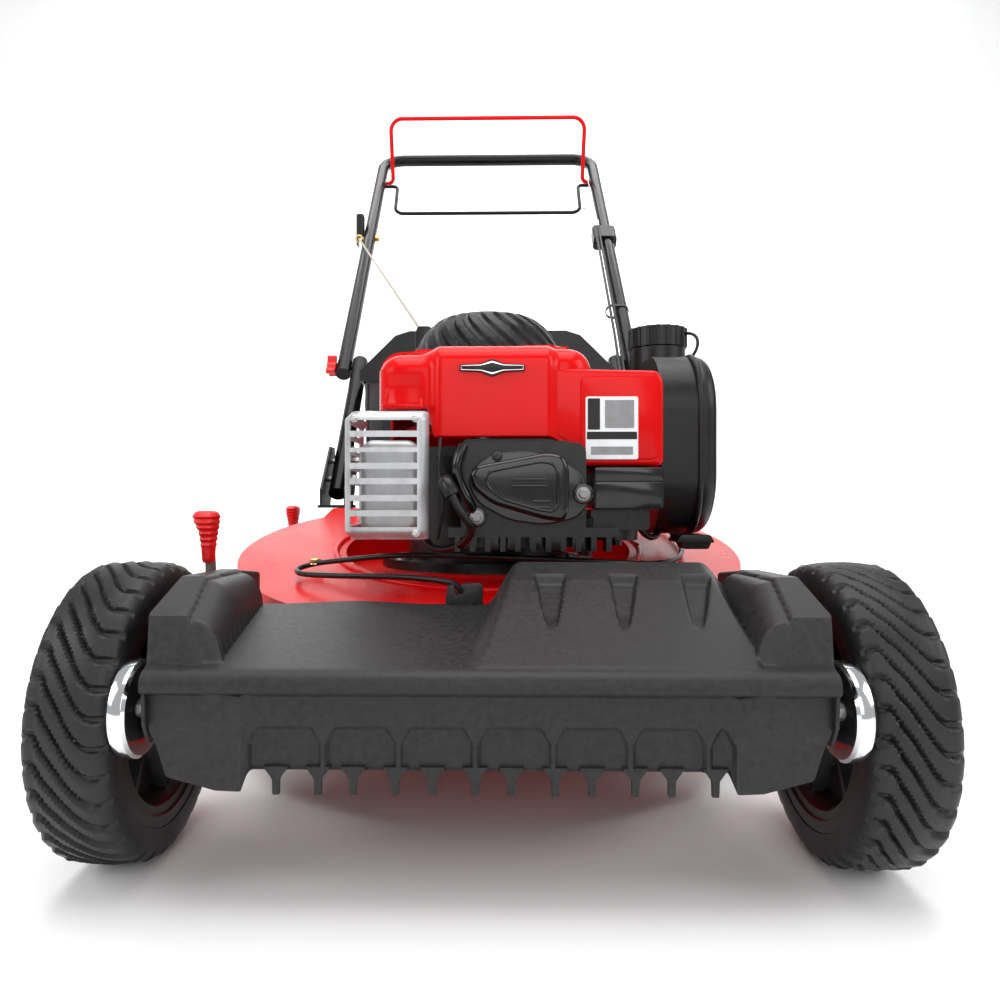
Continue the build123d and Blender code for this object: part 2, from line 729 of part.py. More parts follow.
with BuildPart() as rear_height_knob:
    with BuildSketch(Plane.YZ.offset(-261)):
        with BuildLine():
            Polyline(*side([(462, 206), (488, 212), (478, 234), (464, 240), (450, 232)]), close=True)
        make_face()
    extrude(amount=14)
    fillet(rear_height_knob.edges(), 1.6)
    with BuildSketch(Plane.XZ.offset(-Y(466))):
        with BuildLine():
            Polyline((-210.5, 186), (-214.5, 184), (-256, 203), (-256, 214), (-252, 214), (-252, 206), (-210.5, 192), close=True)
        make_face()
    extrude(amount=-16, mode=Mode.SUBTRACT)
save(rear_height_knob.part, "rear_height_knob")


def tyre_profile(sx, u):
    """Half section of a tyre, in the plane through the axle: x across, y away from the axle."""
    return [(sx * (TYRE_XI + 2), RIM_R + 0.0), (sx * TYRE_XI, 92), (sx * (TYRE_XI + 4), 99.5),
            (sx * (TYRE_XI + 14), TYRE_R), (sx * (TYRE_XO - 14), TYRE_R), (sx * (TYRE_XO - 4), 99.5),
            (sx * TYRE_XO, 92), (sx * (TYRE_XO - 2), RIM_R + 0.0)]


def rim_profile(sx):
    """Half section of a wheel centre: hub, web and flanged rim."""
    xi, xo = TYRE_XI, TYRE_XO
    return [(sx * (xi + 0.2), AXLE_R + FIT), (sx * (xo - 12), AXLE_R + FIT), (sx * (xo - 12), 17),
            (sx * (xo - 22), 17), (sx * (xo - 24), 60), (sx * (xo - 4), 68), (sx * (xo - 3), RIM_R),
            (sx * (xi + 3), RIM_R), (sx * (xi + 4), 71), (sx * (xo - 28), 64), (sx * (xo - 27), 17),
            (sx * (xi + 0.2), 17)]


WHEELS = {"front_left": (1, 0.0), "front_right": (-1, 0.0), "rear_left": (1, RU), "rear_right": (-1, RU)}
for name, (sx, u) in WHEELS.items():
    axis = Axis((0, Y(u), AXLE_Z), (1, 0, 0))
    plane = Plane(origin=(0, Y(u), AXLE_Z), x_dir=(1, 0, 0), z_dir=(0, -1, 0))
    with BuildPart() as tyre:
        with BuildSketch(plane):
            with BuildLine():
                Polyline(*tyre_profile(sx, u), close=True)
            make_face()
        revolve(axis=axis, revolution_arc=360)
    save(tyre.part, "tyre_" + name)
    with BuildPart() as rim:
        with BuildSketch(plane):
            with BuildLine():
                Polyline(*rim_profile(sx), close=True)
            make_face()
        revolve(axis=axis, revolution_arc=360)
    save(rim.part, "rim_" + name)

with BuildPart() as wheel_nuts:
    for u in (0, RU):
        for sx in (-1, 1):
            with BuildSketch(Plane.YZ.offset(sx * 262.6)):
                with Locations((Y(u), AXLE_Z)):
                    RegularPolygon(11, 6)
                    Circle(AXLE_R, mode=Mode.SUBTRACT)
            extrude(amount=sx * 6)
front_nuts = [s for s in wheel_nuts.part.solids() if s.center().Y < Y(200)]
rear_nuts = [s for s in wheel_nuts.part.solids() if s.center().Y > Y(200)]
save(Compound(children=front_nuts), "front_wheel_nuts")
save(Compound(children=rear_nuts), "rear_wheel_nuts")

# ------------------------------------------------------------ lower handle and brackets
with BuildPart() as handle_brackets:
    for sx in (-1, 1):
        with BuildSketch(Plane.XY.offset(SHOULDER_Z)):
            with Locations((sx * 216, Y(571))):
                Rectangle(44, 58)
        extrude(amount=4)
        for x in (201, 235):
            with BuildSketch(Plane.YZ.offset(sx * (x - 1.5) - 1.5)):
                with BuildLine():
                    Polyline(*side([(542, 237), (600, 237), (642, 300), (636, 326), (606, 326), (542, 262)]), close=True)
                make_face()
            extrude(amount=3)
    for s in (-262, -225):
        u0, z0 = along(s)
        with BuildSketch(Plane.YZ.offset(-240)):
            with Locations((Y(u0), z0)):
                Circle(4)
        extrude(amount=480, mode=Mode.SUBTRACT)
save(handle_brackets.part, "handle_brackets")

LOW0, LOW1 = -292.0, 16.0
with BuildPart() as lower_handles:
    for sx in (-1, 1):
        u0, z0 = along(LOW0)
        u1, z1 = along(LOW1)
        with BuildLine():
            ln = Line((sx * LOWER_X, Y(u0), z0), (sx * LOWER_X, Y(u1), z1))
        with BuildSketch(Plane(origin=ln @ 0, z_dir=ln % 0)):
            Circle(HANDLE_D / 2)
        extrude(amount=LOW1 - LOW0)
    for s in (-262, -225):
        u0, z0 = along(s)
        with BuildSketch(Plane.YZ.offset(-240)):
            with Locations((Y(u0), z0)):
                Circle(4)
        extrude(amount=480, mode=Mode.SUBTRACT)
    for sx in (-1, 1):
        # fold bolt, held in the lower leg
        with BuildSketch(Plane.YZ.offset(sx * 206)):
            with Locations((Y(FOLD_U), FOLD_Z)):
                Circle(4)
        extrude(amount=sx * 62)
save(lower_handles.part, "lower_handles")

with BuildPart() as handle_bolts:
    for sx in (-1, 1):
        for s in (-262, -225):
            u0, z0 = along(s)
            with BuildSketch(Plane.YZ.offset(sx * 235)):
                with Locations((Y(u0), z0)):
                    RegularPolygon(6.5, 6)
            extrude(amount=sx * 5)
            with BuildSketch(Plane.YZ.offset(sx * 198)):
                with Locations((Y(u0), z0)):
                    RegularPolygon(6.5, 6)
            extrude(amount=-sx * 5)
            with BuildSketch(Plane.YZ.offset(sx * 195)):
                with Locations((Y(u0), z0)):
                    Circle(4)
            extrude(amount=sx * 42)
save(handle_bolts.part, "handle_bolts")

# ------------------------------------------------------------ upper handle
ca, sa = math.cos(math.radians(HANDLE_DEG)), math.sin(math.radians(HANDLE_DEG))


def leg_point(x, s, off=0.0):
    u, z = along(s, off)
    return (x, Y(u), z)


with BuildPart() as upper_handle:
    with BuildLine() as bar_path:
        FilletPolyline(leg_point(-HANDLE_X, -18), leg_point(-HANDLE_X, BAR_S),
                       leg_point(HANDLE_X, BAR_S), leg_point(HANDLE_X, -18), radius=46)
    with BuildSketch(Plane(origin=leg_point(-HANDLE_X, -18), z_dir=(0, ca, sa))):
        Circle(HANDLE_D / 2)
    sweep()
    # tube bore, left solid where the ends are pressed flat
    with BuildLine() as bore_path:
        FilletPolyline(leg_point(-HANDLE_X, 24), leg_point(-HANDLE_X, BAR_S),
                       leg_point(HANDLE_X, BAR_S), leg_point(HANDLE_X, 24), radius=46)
    with BuildSketch(Plane(origin=leg_point(-HANDLE_X, 24), z_dir=(0, ca, sa))):
        Circle(HANDLE_D / 2 - 1.4)
    sweep(path=bore_path.line, mode=Mode.SUBTRACT)
    # fold bolt holes
    with BuildSketch(Plane.YZ.offset(-270)):
        with Locations((Y(FOLD_U), FOLD_Z)):
            Circle(4 + FIT)
    extrude(amount=540, mode=Mode.SUBTRACT)
    # hole for the rope guide in the right leg
    gu, gz = along(424)
    with BuildSketch(Plane.YZ.offset(-262)):
        with Locations((Y(gu), gz)):
            Circle(3)
    extrude(amount=40, mode=Mode.SUBTRACT)
    # holes for the two bails, in the inner walls
    for u, z, r in [(1233.0, 970.0, 4.5), (1222.9, 958.9, 4.0)]:
        for sx in (-1, 1):
            with BuildSketch(Plane.YZ.offset(sx * 226)):
                with Locations((Y(u), z)):
                    Circle(r + FIT)
            extrude(amount=sx * 18, mode=Mode.SUBTRACT)
save(upper_handle.part, "upper_handle")

RED_U, RED_Z, RED_R = 1233.0, 970.0, 4.5
BLK_U, BLK_Z, BLK_R = 1222.9, 958.9, 4.0


def bail_points(hw, u, z, length, deg, pin_x):
    """A squared U of wire with its ends turned out into the legs."""
    d = math.radians(deg)
    du, dz = length * math.cos(d), length * math.sin(d)
    return [(-pin_x, Y(u), z), (-hw, Y(u), z), (-hw, Y(u + du), z + dz),
            (hw, Y(u + du), z + dz), (hw, Y(u), z), (pin_x, Y(u), z)]


with BuildPart() as stop_bail:
    pts = bail_points(215, RED_U, RED_Z, 133, 113.5, 238)
    with BuildLine():
        FilletPolyline(*pts, radius=[12, 26, 26, 12])
    with BuildSketch(Plane(origin=pts[0], z_dir=(1, 0, 0))):
        Circle(RED_R)
    sweep()
save(stop_bail.part, "stop_bail")

with BuildPart() as drive_bail:
    pts = bail_points(204, BLK_U, BLK_Z, 94, 238, 238)
    with BuildLine():
        FilletPolyline(*pts, radius=[10, 20, 20, 10])
    with BuildSketch(Plane(origin=pts[0], z_dir=(1, 0, 0))):
        Circle(BLK_R)
    sweep()
save(drive_bail.part, "drive_bail")

# clamp knobs on the fold bolts
for name, sx in (("handle_knob_right", -1), ("handle_knob_left", 1)):
    with BuildPart() as knob:
        with BuildSketch(Plane.YZ.offset(sx * 256.4)):
            with Locations((Y(FOLD_U), FOLD_Z)):
                Circle(10)
                with PolarLocations(9, 3, start_angle=90):
                    SlotOverall(24, 9)
        extrude(amount=sx * 15)
        with BuildSketch(Plane.YZ.offset(sx * 256)):
            with Locations((Y(FOLD_U), FOLD_Z)):
                Circle(4 + FIT)
        extrude(amount=sx * 13, mode=Mode.SUBTRACT)
    save(knob.part, name)

# rope guide on the right leg: eye bolt, open at the bottom, and its nut
G_U, G_Z = along(424)
EYE_X = -265.0
with BuildPart() as rope_guide:
    with BuildSketch(Plane(origin=(EYE_X, Y(G_U), G_Z + 6.6), x_dir=(0, 1, 0), z_dir=(1, 0, 0))):
        Circle(2.2)
    revolve(axis=Axis((EYE_X, Y(G_U), G_Z), (0, 1, 0)), revolution_arc=360)
    with BuildSketch(Plane.XY.offset(G_Z - 14)):
        with Locations((EYE_X, Y(G_U))):
            Rectangle(7, 12)
    extrude(amount=14, mode=Mode.SUBTRACT)
    with BuildSketch(Plane.YZ.offset(-258.6)):
        with Locations((Y(G_U), G_Z)):
            Circle(3)
    extrude(amount=32)
    with BuildSketch(Plane.YZ.offset(-230.4)):
        with Locations((Y(G_U), G_Z)):
            RegularPolygon(7, 6)
    extrude(amount=7)
save(rope_guide.part, "rope_guide")

with BuildPart() as starter_grip:
    with BuildSketch(Plane.XY.offset(G_Z - 10)):
        with Locations((EYE_X + 0.1, Y(G_U + 17))):
            RectangleRounded(16.4, 21, 6)
    extrude(amount=66)
    fillet(starter_grip.faces().sort_by(Axis.Z)[0].edges() + starter_grip.faces().sort_by(Axis.Z)[-1].edges(), 4)
    with BuildSketch(Plane.XY.offset(G_Z - 12)):
        with Locations((EYE_X, Y(G_U + 17))):
            Rectangle(6.4, 30)
    extrude(amount=22, mode=Mode.SUBTRACT)
save(starter_grip.part, "starter_grip")

# starter rope, pulled straight by its spring
ROPE_A = (-75.0, Y(322.4), 437.0)
ROPE_B = (EYE_X, Y(G_U), G_Z)
rope_len = math.dist(ROPE_A, ROPE_B)
rope_dir = tuple((b - a) / rope_len for a, b in zip(ROPE_A, ROPE_B))
ROPE_LEN = rope_len + 5.0
with BuildPart() as starter_rope:
    with BuildSketch(Plane(origin=ROPE_A, z_dir=rope_dir)):
        Circle(ROPE_D / 2)
    extrude(amount=ROPE_LEN)
save(starter_rope.part, "starter_rope")
print("starter rope length", round(ROPE_LEN, 1))

# ------------------------------------------------------------ control cables
with BuildPart() as cable_clips:
    u0, z0 = along(402)
    with BuildSketch(Plane(origin=(0, Y(u0), z0), x_dir=(1, 0, 0), z_dir=(0, ca, sa))):
        with Locations((238.5, 0)):
            RectangleRounded(47, 32, 8)
        with Locations((HANDLE_X, 0)):
            Circle(HANDLE_D / 2, mode=Mode.SUBTRACT)
        with Locations((227.2, 0), (220.8, 0)):
            Circle(CABLE_D / 2, mode=Mode.SUBTRACT)
    extrude(amount=42)
    # tie round the leg and both cables
    u0, z0 = along(158)
    with BuildSketch(Plane(origin=(0, Y(u0), z0), x_dir=(1, 0, 0), z_dir=(0, ca, sa))):
        with Locations((236.3, 0)):
            SlotOverall(42.5, 28.4)
            SlotOverall(39.5, 25.4, mode=Mode.SUBTRACT)
    extrude(amount=6)
save(cable_clips.part, "cable_clips")

with BuildPart() as upper_cables:
    for x in (227.2, 220.8):
        u0, z0 = along(40)
        with BuildSketch(Plane(origin=(x, Y(u0), z0), x_dir=(1, 0, 0), z_dir=(0, ca, sa))):
            Circle(CABLE_D / 2)
        extrude(amount=412)
    # bare inner wires up to the bails
    for x, s, end in [(227.2, 452, (225.0, Y(1228.0), 984.0)), (220.8, 452, (212.6, Y(1180.0), 894.0))]:
        start = leg_point(x, s)
        d = tuple(b - a for a, b in zip(start, end))
        with BuildSketch(Plane(origin=start, z_dir=d)):
            Circle(1.1)
        extrude(amount=math.dist(start, end))
save(upper_cables.part, "upper_cables")

# below the fold both run under the leg, then over the deck
STOP_PTS = [leg_point(224.4, 24, 16.6), leg_point(224.4, -30, 17.2), leg_point(224.0, -110, 17.4),
            leg_point(222.0, -185, 18.5), (206.0, Y(588), 334.0), (186.0, Y(538), 318.0), (160.0, Y(480), 304.0),
            (130.0, Y(425), 300.0), (108.0, Y(385), 284.0), (98.0, Y(352), 258.0)]
DRIVE_PTS = [leg_point(217.6, 24, 16.6), leg_point(217.6, -30, 17.2), leg_point(217.4, -110, 17.4),
             leg_point(215.0, -185, 18.5), (196.0, Y(586), 322.0), (182.0, Y(540), 288.0), (182.0, Y(500), 254.0),
             (190.0, Y(450), 236.0), (200.0, Y(395), 223.0),
             (206.0, Y(330), 210.5), (202.0, Y(265), 198.0), (184.0, Y(205), 190.0), (150.0, Y(158), 189.0),
             (100.0, Y(138), 193.0), (40.0, Y(134), 196.0), (-20.0, Y(138), 198.0), (-80.0, Y(150), 198.0),
             (-130.0, Y(170), 192.0), (-164.0, Y(190), 187.0), (-178.0, Y(176), 183.0), (-170.0, Y(152), 180.5), (-140.0, Y(132), 181.0),
             (-100.0, Y(112), 182.5), (-66.0, Y(90), 184.0), (-30.0, Y(66), 183.0), (-6.0, Y(50), 179.5)]


def corner_radii(points):
    """Largest tangent arcs: 0.45 of the shorter run over the tangent of half the turn."""
    radii = []
    for a, b, c in zip(points, points[1:], points[2:]):
        v1, v2 = Vector(b) - Vector(a), Vector(c) - Vector(b)
        half = math.radians(v1.get_angle(v2)) / 2
        radii.append(0.45 * min(v1.length, v2.length) / math.tan(half))
    return radii


with BuildPart() as lower_cables:
    for pts in (STOP_PTS, DRIVE_PTS):
        radii = corner_radii(pts)
        print("cable radii", [round(r) for r in radii])
        with BuildLine() as run:
            FilletPolyline(*pts, radius=radii)
        with BuildSketch(Plane(origin=pts[0], z_dir=Vector(pts[1]) - Vector(pts[0]))):
            Circle(CABLE_D / 2)
        sweep(path=run.line)
save(lower_cables.part, "lower_cables")
print("lower cables volume", round(lower_cables.part.volume))

# ------------------------------------------------------------ bag, door and rear flap
BAG_F, BAG_B = 652.0, 1090.0
OCT = [(-197, 150), (-180, 130), (180, 130), (197, 150), (197, 446), (142, 500), (120, 507), (-120, 507), (-142, 500), (-197, 446)]
with BuildPart() as bag_solid:
    with BuildSketch(Plane.XZ.offset(-Y(BAG_F))):
        with BuildLine():
            Polyline(*OCT, close=True)
        make_face()
    extrude(amount=-(BAG_B - BAG_F))
    chamfer(bag_solid.faces().sort_by(Axis.Y)[-1].edges(), 26)
with BuildPart() as bag_room:
    with BuildSketch(Plane.XZ.offset(-Y(BAG_F + 3))):
        with BuildLine():
            Polyline(*OCT, close=True)
        make_face()
        offset(amount=-3)
    extrude(amount=-(BAG_B - BAG_F - 6))
    chamfer(bag_room.faces().sort_by(Axis.Y)[-1].edges(), 25)
with BuildPart() as bag_body:
    add(bag_solid.part)
    add(bag_room.part, mode=Mode.SUBTRACT)
    split(bisect_by=Plane.XY.offset(430), keep=Keep.BOTTOM)
    with BuildSketch(Plane.XZ.offset(-Y(BAG_F - 2))):
        with Locations((0, 187)):
            Rectangle(300, 84)
    extrude(amount=-8, mode=Mode.SUBTRACT)
save(bag_body.part, "bag_body")
with BuildPart() as bag_top:
    add(bag_solid.part)
    add(bag_room.part, mode=Mode.SUBTRACT)
    split(bisect_by=Plane.XY.offset(430), keep=Keep.TOP)
    # moulded carrying handle
    with BuildSketch(Plane.XY.offset(506)):
        with Locations((-50, Y(800)), (50, Y(800))):
            Rectangle(14, 26)
    extrude(amount=23)
    with BuildSketch(Plane.XY.offset(525)):
        with Locations((0, Y(800))):
            RectangleRounded(124, 26, 6)
    extrude(amount=10)
save(bag_top.part, "bag_top")
with BuildPart() as bag_neck:
    with BuildSketch(Plane.XZ.offset(-Y(605))):
        with Locations((0, 187)):
            Rectangle(312, 92)
            Rectangle(300, 84, mode=Mode.SUBTRACT)
    extrude(amount=-(BAG_F - 605))
save(bag_neck.part, "bag_neck")
DOOR_DEG = 75.0
with BuildPart() as rear_door:
    with BuildSketch(Plane.YZ.offset(-162)):
        with Locations((Y(606), 243)):
            Circle(6)
    extrude(amount=324)
    dd = math.radians(DOOR_DEG)
    with BuildSketch(Plane(origin=(0, Y(606), 243), x_dir=(1, 0, 0), z_dir=(0, -math.sin(dd), math.cos(dd)))):
        with Locations((0, 76)):
            RectangleRounded(318, 146, 12)
    extrude(amount=4)
    with BuildSketch(Plane.YZ.offset(-170)):
        with Locations((Y(606), 243)):
            Circle(3 + FIT)
    extrude(amount=340, mode=Mode.SUBTRACT)
save(rear_door.part, "rear_door")

with BuildPart() as rear_flap:
    with BuildSketch(Plane.XZ.offset(-Y(602))):
        with Locations((0, 87)):
            Rectangle(390, 114)
    extrude(amount=-2)
save(rear_flap.part, "rear_flap")
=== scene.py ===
import bpy, bmesh, math
from mathutils import Vector, Matrix


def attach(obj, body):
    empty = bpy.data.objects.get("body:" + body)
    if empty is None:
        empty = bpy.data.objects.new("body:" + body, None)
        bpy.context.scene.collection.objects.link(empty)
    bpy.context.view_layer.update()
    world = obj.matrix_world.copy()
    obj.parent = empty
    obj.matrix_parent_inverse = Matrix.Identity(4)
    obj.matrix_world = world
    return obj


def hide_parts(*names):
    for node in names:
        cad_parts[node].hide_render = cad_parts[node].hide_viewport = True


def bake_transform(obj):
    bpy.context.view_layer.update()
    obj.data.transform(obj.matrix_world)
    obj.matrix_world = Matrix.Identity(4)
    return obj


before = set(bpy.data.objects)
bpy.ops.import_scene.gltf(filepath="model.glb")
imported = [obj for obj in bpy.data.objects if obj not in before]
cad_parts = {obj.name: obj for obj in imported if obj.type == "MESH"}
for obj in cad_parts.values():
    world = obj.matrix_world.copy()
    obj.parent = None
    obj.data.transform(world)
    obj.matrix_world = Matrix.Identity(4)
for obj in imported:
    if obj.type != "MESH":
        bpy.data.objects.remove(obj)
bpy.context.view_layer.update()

YF = -602.5


def P(x, u, z):
    """Row-frame point in metres from x, distance behind the front axle and height, all in mm."""
    return Vector((x / 1000.0, (YF + u) / 1000.0, z / 1000.0))


def clamp(v, a=0.0, b=1.0):
    return max(a, min(b, v))


def sstep(v, a, b):
    t = clamp((v - a) / (b - a))
    return t * t * (3 - 2 * t)


def lerp(a, b, t):
    return a + (b - a) * t


def interp(x, xs, ys):
    if x <= xs[0]:
        return ys[0]
    for i in range(1, len(xs)):
        if x <= xs[i]:
            return lerp(ys[i - 1], ys[i], (x - xs[i - 1]) / (xs[i] - xs[i - 1]))
    return ys[-1]


# ------------------------------------------------------------ camera
scene = bpy.context.scene
cam_data = bpy.data.cameras.new("camera")
cam_data.lens = 28.08
cam_data.sensor_width = 36.0
cam_data.shift_x = 0.027
cam_data.clip_start = 0.02
cam = bpy.data.objects.new("camera", cam_data)
scene.collection.objects.link(cam)
cam.location = P(0, -546, 247)
fwd = Vector((-0.0186, 1.0, 0.0)).normalized()
cam.rotation_euler = fwd.to_track_quat("-Z", "Y").to_euler()
scene.camera = cam


# ------------------------------------------------------------ materials
def nodes_of(name):
    m = bpy.data.materials.new(name)
    m.use_nodes = True
    nt = m.node_tree
    nt.nodes.clear()
    out = nt.nodes.new("ShaderNodeOutputMaterial")
    sh = nt.nodes.new("ShaderNodeBsdfPrincipled")
    nt.links.new(sh.outputs[0], out.inputs[0])
    return m, nt, sh


def noise(nt, scale, detail=3.0, rough=0.5, coord=None, stretch=None):
    tc = nt.nodes.new("ShaderNodeTexCoord")
    n = nt.nodes.new("ShaderNodeTexNoise")
    n.inputs["Scale"].default_value = scale
    n.inputs["Detail"].default_value = detail
    n.inputs["Roughness"].default_value = rough
    if stretch:
        mp = nt.nodes.new("ShaderNodeMapping")
        mp.inputs["Scale"].default_value = stretch
        nt.links.new(tc.outputs["Object"], mp.inputs["Vector"])
        nt.links.new(mp.outputs[0], n.inputs["Vector"])
    else:
        nt.links.new(tc.outputs["Object"], n.inputs["Vector"])
    return n


def ramp(nt, src, stops):
    r = nt.nodes.new("ShaderNodeValToRGB")
    e = r.color_ramp.elements
    while len(e) < len(stops):
        e.new(0.5)
    for el, (pos, col) in zip(e, stops):
        el.position = pos
        el.color = (*col, 1) if len(col) == 3 else col
    nt.links.new(src, r.inputs[0])
    return r


def grey(v):
    return (v, v, v)


def material(name, col, col2, rough, rough_var=0.06, metal=0.0, scale=60.0, bump=0.0, bump_scale=900.0,
             bump_dist=0.0004, coat=0.0, coat_rough=0.05, spec=0.5, stretch=None, cells=False, wear=None, sheen=0.0):
    """Two close tones mixed by a fine noise, a roughness that varies with it, and a surface relief."""
    m, nt, sh = nodes_of(name)
    n = noise(nt, scale, 4.0, 0.6, stretch=stretch)
    c = ramp(nt, n.outputs["Fac"], [(0.3, col), (0.7, col2)])
    colour = c.outputs[0]
    if wear:
        g = nt.nodes.new("ShaderNodeNewGeometry")
        wr = ramp(nt, g.outputs["Pointiness"], [(0.52, grey(0)), (0.60, grey(1))])
        mix = nt.nodes.new("ShaderNodeMixRGB")
        nt.links.new(wr.outputs[0], mix.inputs[0])
        nt.links.new(colour, mix.inputs[1])
        mix.inputs[2].default_value = (*wear, 1)
        colour = mix.outputs[0]
    nt.links.new(colour, sh.inputs["Base Color"])
    r = ramp(nt, n.outputs["Fac"], [(0.2, grey(max(rough - rough_var, 0.02))), (0.8, grey(rough + rough_var))])
    nt.links.new(r.outputs[0], sh.inputs["Roughness"])
    sh.inputs["Metallic"].default_value = metal
    sh.inputs["Specular IOR Level"].default_value = spec
    sh.inputs["Coat Weight"].default_value = coat
    sh.inputs["Coat Roughness"].default_value = coat_rough
    if sheen:
        sh.inputs["Sheen Weight"].default_value = sheen
    if bump:
        if cells:
            v = nt.nodes.new("ShaderNodeTexVoronoi")
            v.inputs["Scale"].default_value = bump_scale
            tc = nt.nodes.new("ShaderNodeTexCoord")
            nt.links.new(tc.outputs["Object"], v.inputs["Vector"])
            src = v.outputs["Distance"]
        else:
            src = noise(nt, bump_scale, 2.0, 0.6).outputs["Fac"]
        b = nt.nodes.new("ShaderNodeBump")
        b.inputs["Strength"].default_value = bump
        b.inputs["Distance"].default_value = bump_dist
        nt.links.new(src, b.inputs["Height"])
        nt.links.new(b.outputs[0], sh.inputs["Normal"])
    return m


def weave(name, a, b, scale=700.0):
    m, nt, sh = nodes_of(name)
    tc = nt.nodes.new("ShaderNodeTexCoord")
    waves = []
    for direction in ("X", "Z"):
        w = nt.nodes.new("ShaderNodeTexWave")
        w.wave_type = "BANDS"
        w.bands_direction = direction
        w.inputs["Scale"].default_value = scale
        w.inputs["Distortion"].default_value = 0.6
        nt.links.new(tc.outputs["Object"], w.inputs["Vector"])
        waves.append(w)
    mx = nt.nodes.new("ShaderNodeMath")
    mx.operation = "MAXIMUM"
    nt.links.new(waves[0].outputs["Fac"], mx.inputs[0])
    nt.links.new(waves[1].outputs["Fac"], mx.inputs[1])
    c = ramp(nt, mx.outputs[0], [(0.3, a), (0.95, b)])
    nt.links.new(c.outputs[0], sh.inputs["Base Color"])
    n = noise(nt, 35.0)
    r = ramp(nt, n.outputs["Fac"], [(0.2, grey(0.75)), (0.8, grey(0.92))])
    nt.links.new(r.outputs[0], sh.inputs["Roughness"])
    sh.inputs["Sheen Weight"].default_value = 0.25
    bm = nt.nodes.new("ShaderNodeBump")
    bm.inputs["Strength"].default_value = 0.5
    bm.inputs["Distance"].default_value = 0.0005
    nt.links.new(mx.outputs[0], bm.inputs["Height"])
    nt.links.new(bm.outputs[0], sh.inputs["Normal"])
    return m


M = {
    "red": material("red_enamel", (0.60, 0.0015, 0.002), (0.68, 0.0025, 0.003), 0.30, 0.05, scale=14, bump=0.05,
                    bump_scale=420, bump_dist=0.0003, coat=0.06, coat_rough=0.05, spec=0.14),
    "redplastic": material("red_shroud_plastic", (0.60, 0.0015, 0.002), (0.68, 0.0025, 0.003), 0.20, 0.05, scale=9,
                           bump=0.05, bump_scale=700, bump_dist=0.0001, coat=0.05, coat_rough=0.05, spec=0.14),
    "redknob": material("red_knob_plastic", (0.56, 0.002, 0.002), (0.66, 0.003, 0.003), 0.40, 0.06, scale=40,
                        bump=0.15, bump_scale=1200, bump_dist=0.0002),
    "cover": material("moulded_cover_plastic", (0.009, 0.009, 0.0095), (0.021, 0.021, 0.022), 0.46, 0.09, scale=240,
                      bump=0.6, bump_scale=1300, bump_dist=0.00025, spec=0.32),
    "black": material("black_plastic", (0.0040, 0.0040, 0.0045), (0.008, 0.008, 0.0085), 0.36, 0.08, scale=45, bump=0.2,
                      bump_scale=1100, bump_dist=0.0002, spec=0.32),
    "blackgloss": material("gloss_black_coat", (0.002, 0.002, 0.0025), (0.005, 0.005, 0.0055), 0.24, 0.05, scale=30,
                           bump=0.05, bump_scale=300, bump_dist=0.0002, spec=0.18, coat=0.06, coat_rough=0.05),
    "enginegloss": material("engine_black_enamel", (0.0022, 0.0022, 0.0024), (0.0045, 0.0045, 0.0048), 0.20, 0.05, scale=40, bump=0.12,
                            bump_scale=500, bump_dist=0.0002, spec=0.35, coat=0.3, coat_rough=0.08),
    "blackmetal": material("black_cast_metal", (0.004, 0.004, 0.004), (0.010, 0.010, 0.010), 0.32, 0.1, metal=0.0,
                           scale=70, bump=0.35, bump_scale=650, bump_dist=0.0004, coat=0.15, coat_rough=0.2, spec=0.3),
    "tyre": material("tyre_rubber", (0.0075, 0.0075, 0.008), (0.014, 0.014, 0.0145), 0.46, 0.09, scale=38, bump=0.25,
                     bump_scale=420, bump_dist=0.0004, spec=0.36),
    "chrome": material("bright_plating", (0.78, 0.80, 0.82), (0.86, 0.87, 0.88), 0.10, 0.05, metal=1.0, scale=25,
                       bump=0.03, bump_scale=200),
    "zinc": material("zinc_plate", (0.42, 0.42, 0.42), (0.58, 0.58, 0.57), 0.34, 0.09, metal=1.0, scale=90, bump=0.1,
                     bump_scale=500),
    "grey": material("grey_lever_steel", (0.20, 0.20, 0.205), (0.27, 0.27, 0.275), 0.42, 0.08, metal=0.7, scale=80,
                     bump=0.1, bump_scale=600),
    "alu": material("cast_aluminium", (0.36, 0.36, 0.36), (0.50, 0.50, 0.50), 0.45, 0.1, metal=0.9, scale=120,
                    bump=0.4, bump_scale=800, bump_dist=0.0003),
    "silver": material("silver_heat_paint", (0.43, 0.44, 0.45), (0.56, 0.57, 0.58), 0.40, 0.08, metal=0.55, scale=55,
                       bump=0.25, bump_scale=900, bump_dist=0.00025),
    "brass": material("yellow_zinc", (0.55, 0.36, 0.10), (0.72, 0.52, 0.20), 0.30, 0.08, metal=1.0, scale=60, bump=0.1,
                      bump_scale=500),
    "rope": material("braided_rope", (0.33, 0.30, 0.23), (0.52, 0.48, 0.39), 0.80, 0.06, scale=500, bump=0.6,
                     bump_scale=1200, bump_dist=0.0004),
    "label": material("plain_label", (0.74, 0.75, 0.76), (0.82, 0.83, 0.84), 0.35, 0.05, scale=80, bump=0.03,
                      bump_scale=300),
    "fabric": weave("bag_fabric", (0.012, 0.012, 0.014), (0.045, 0.045, 0.050)),
}

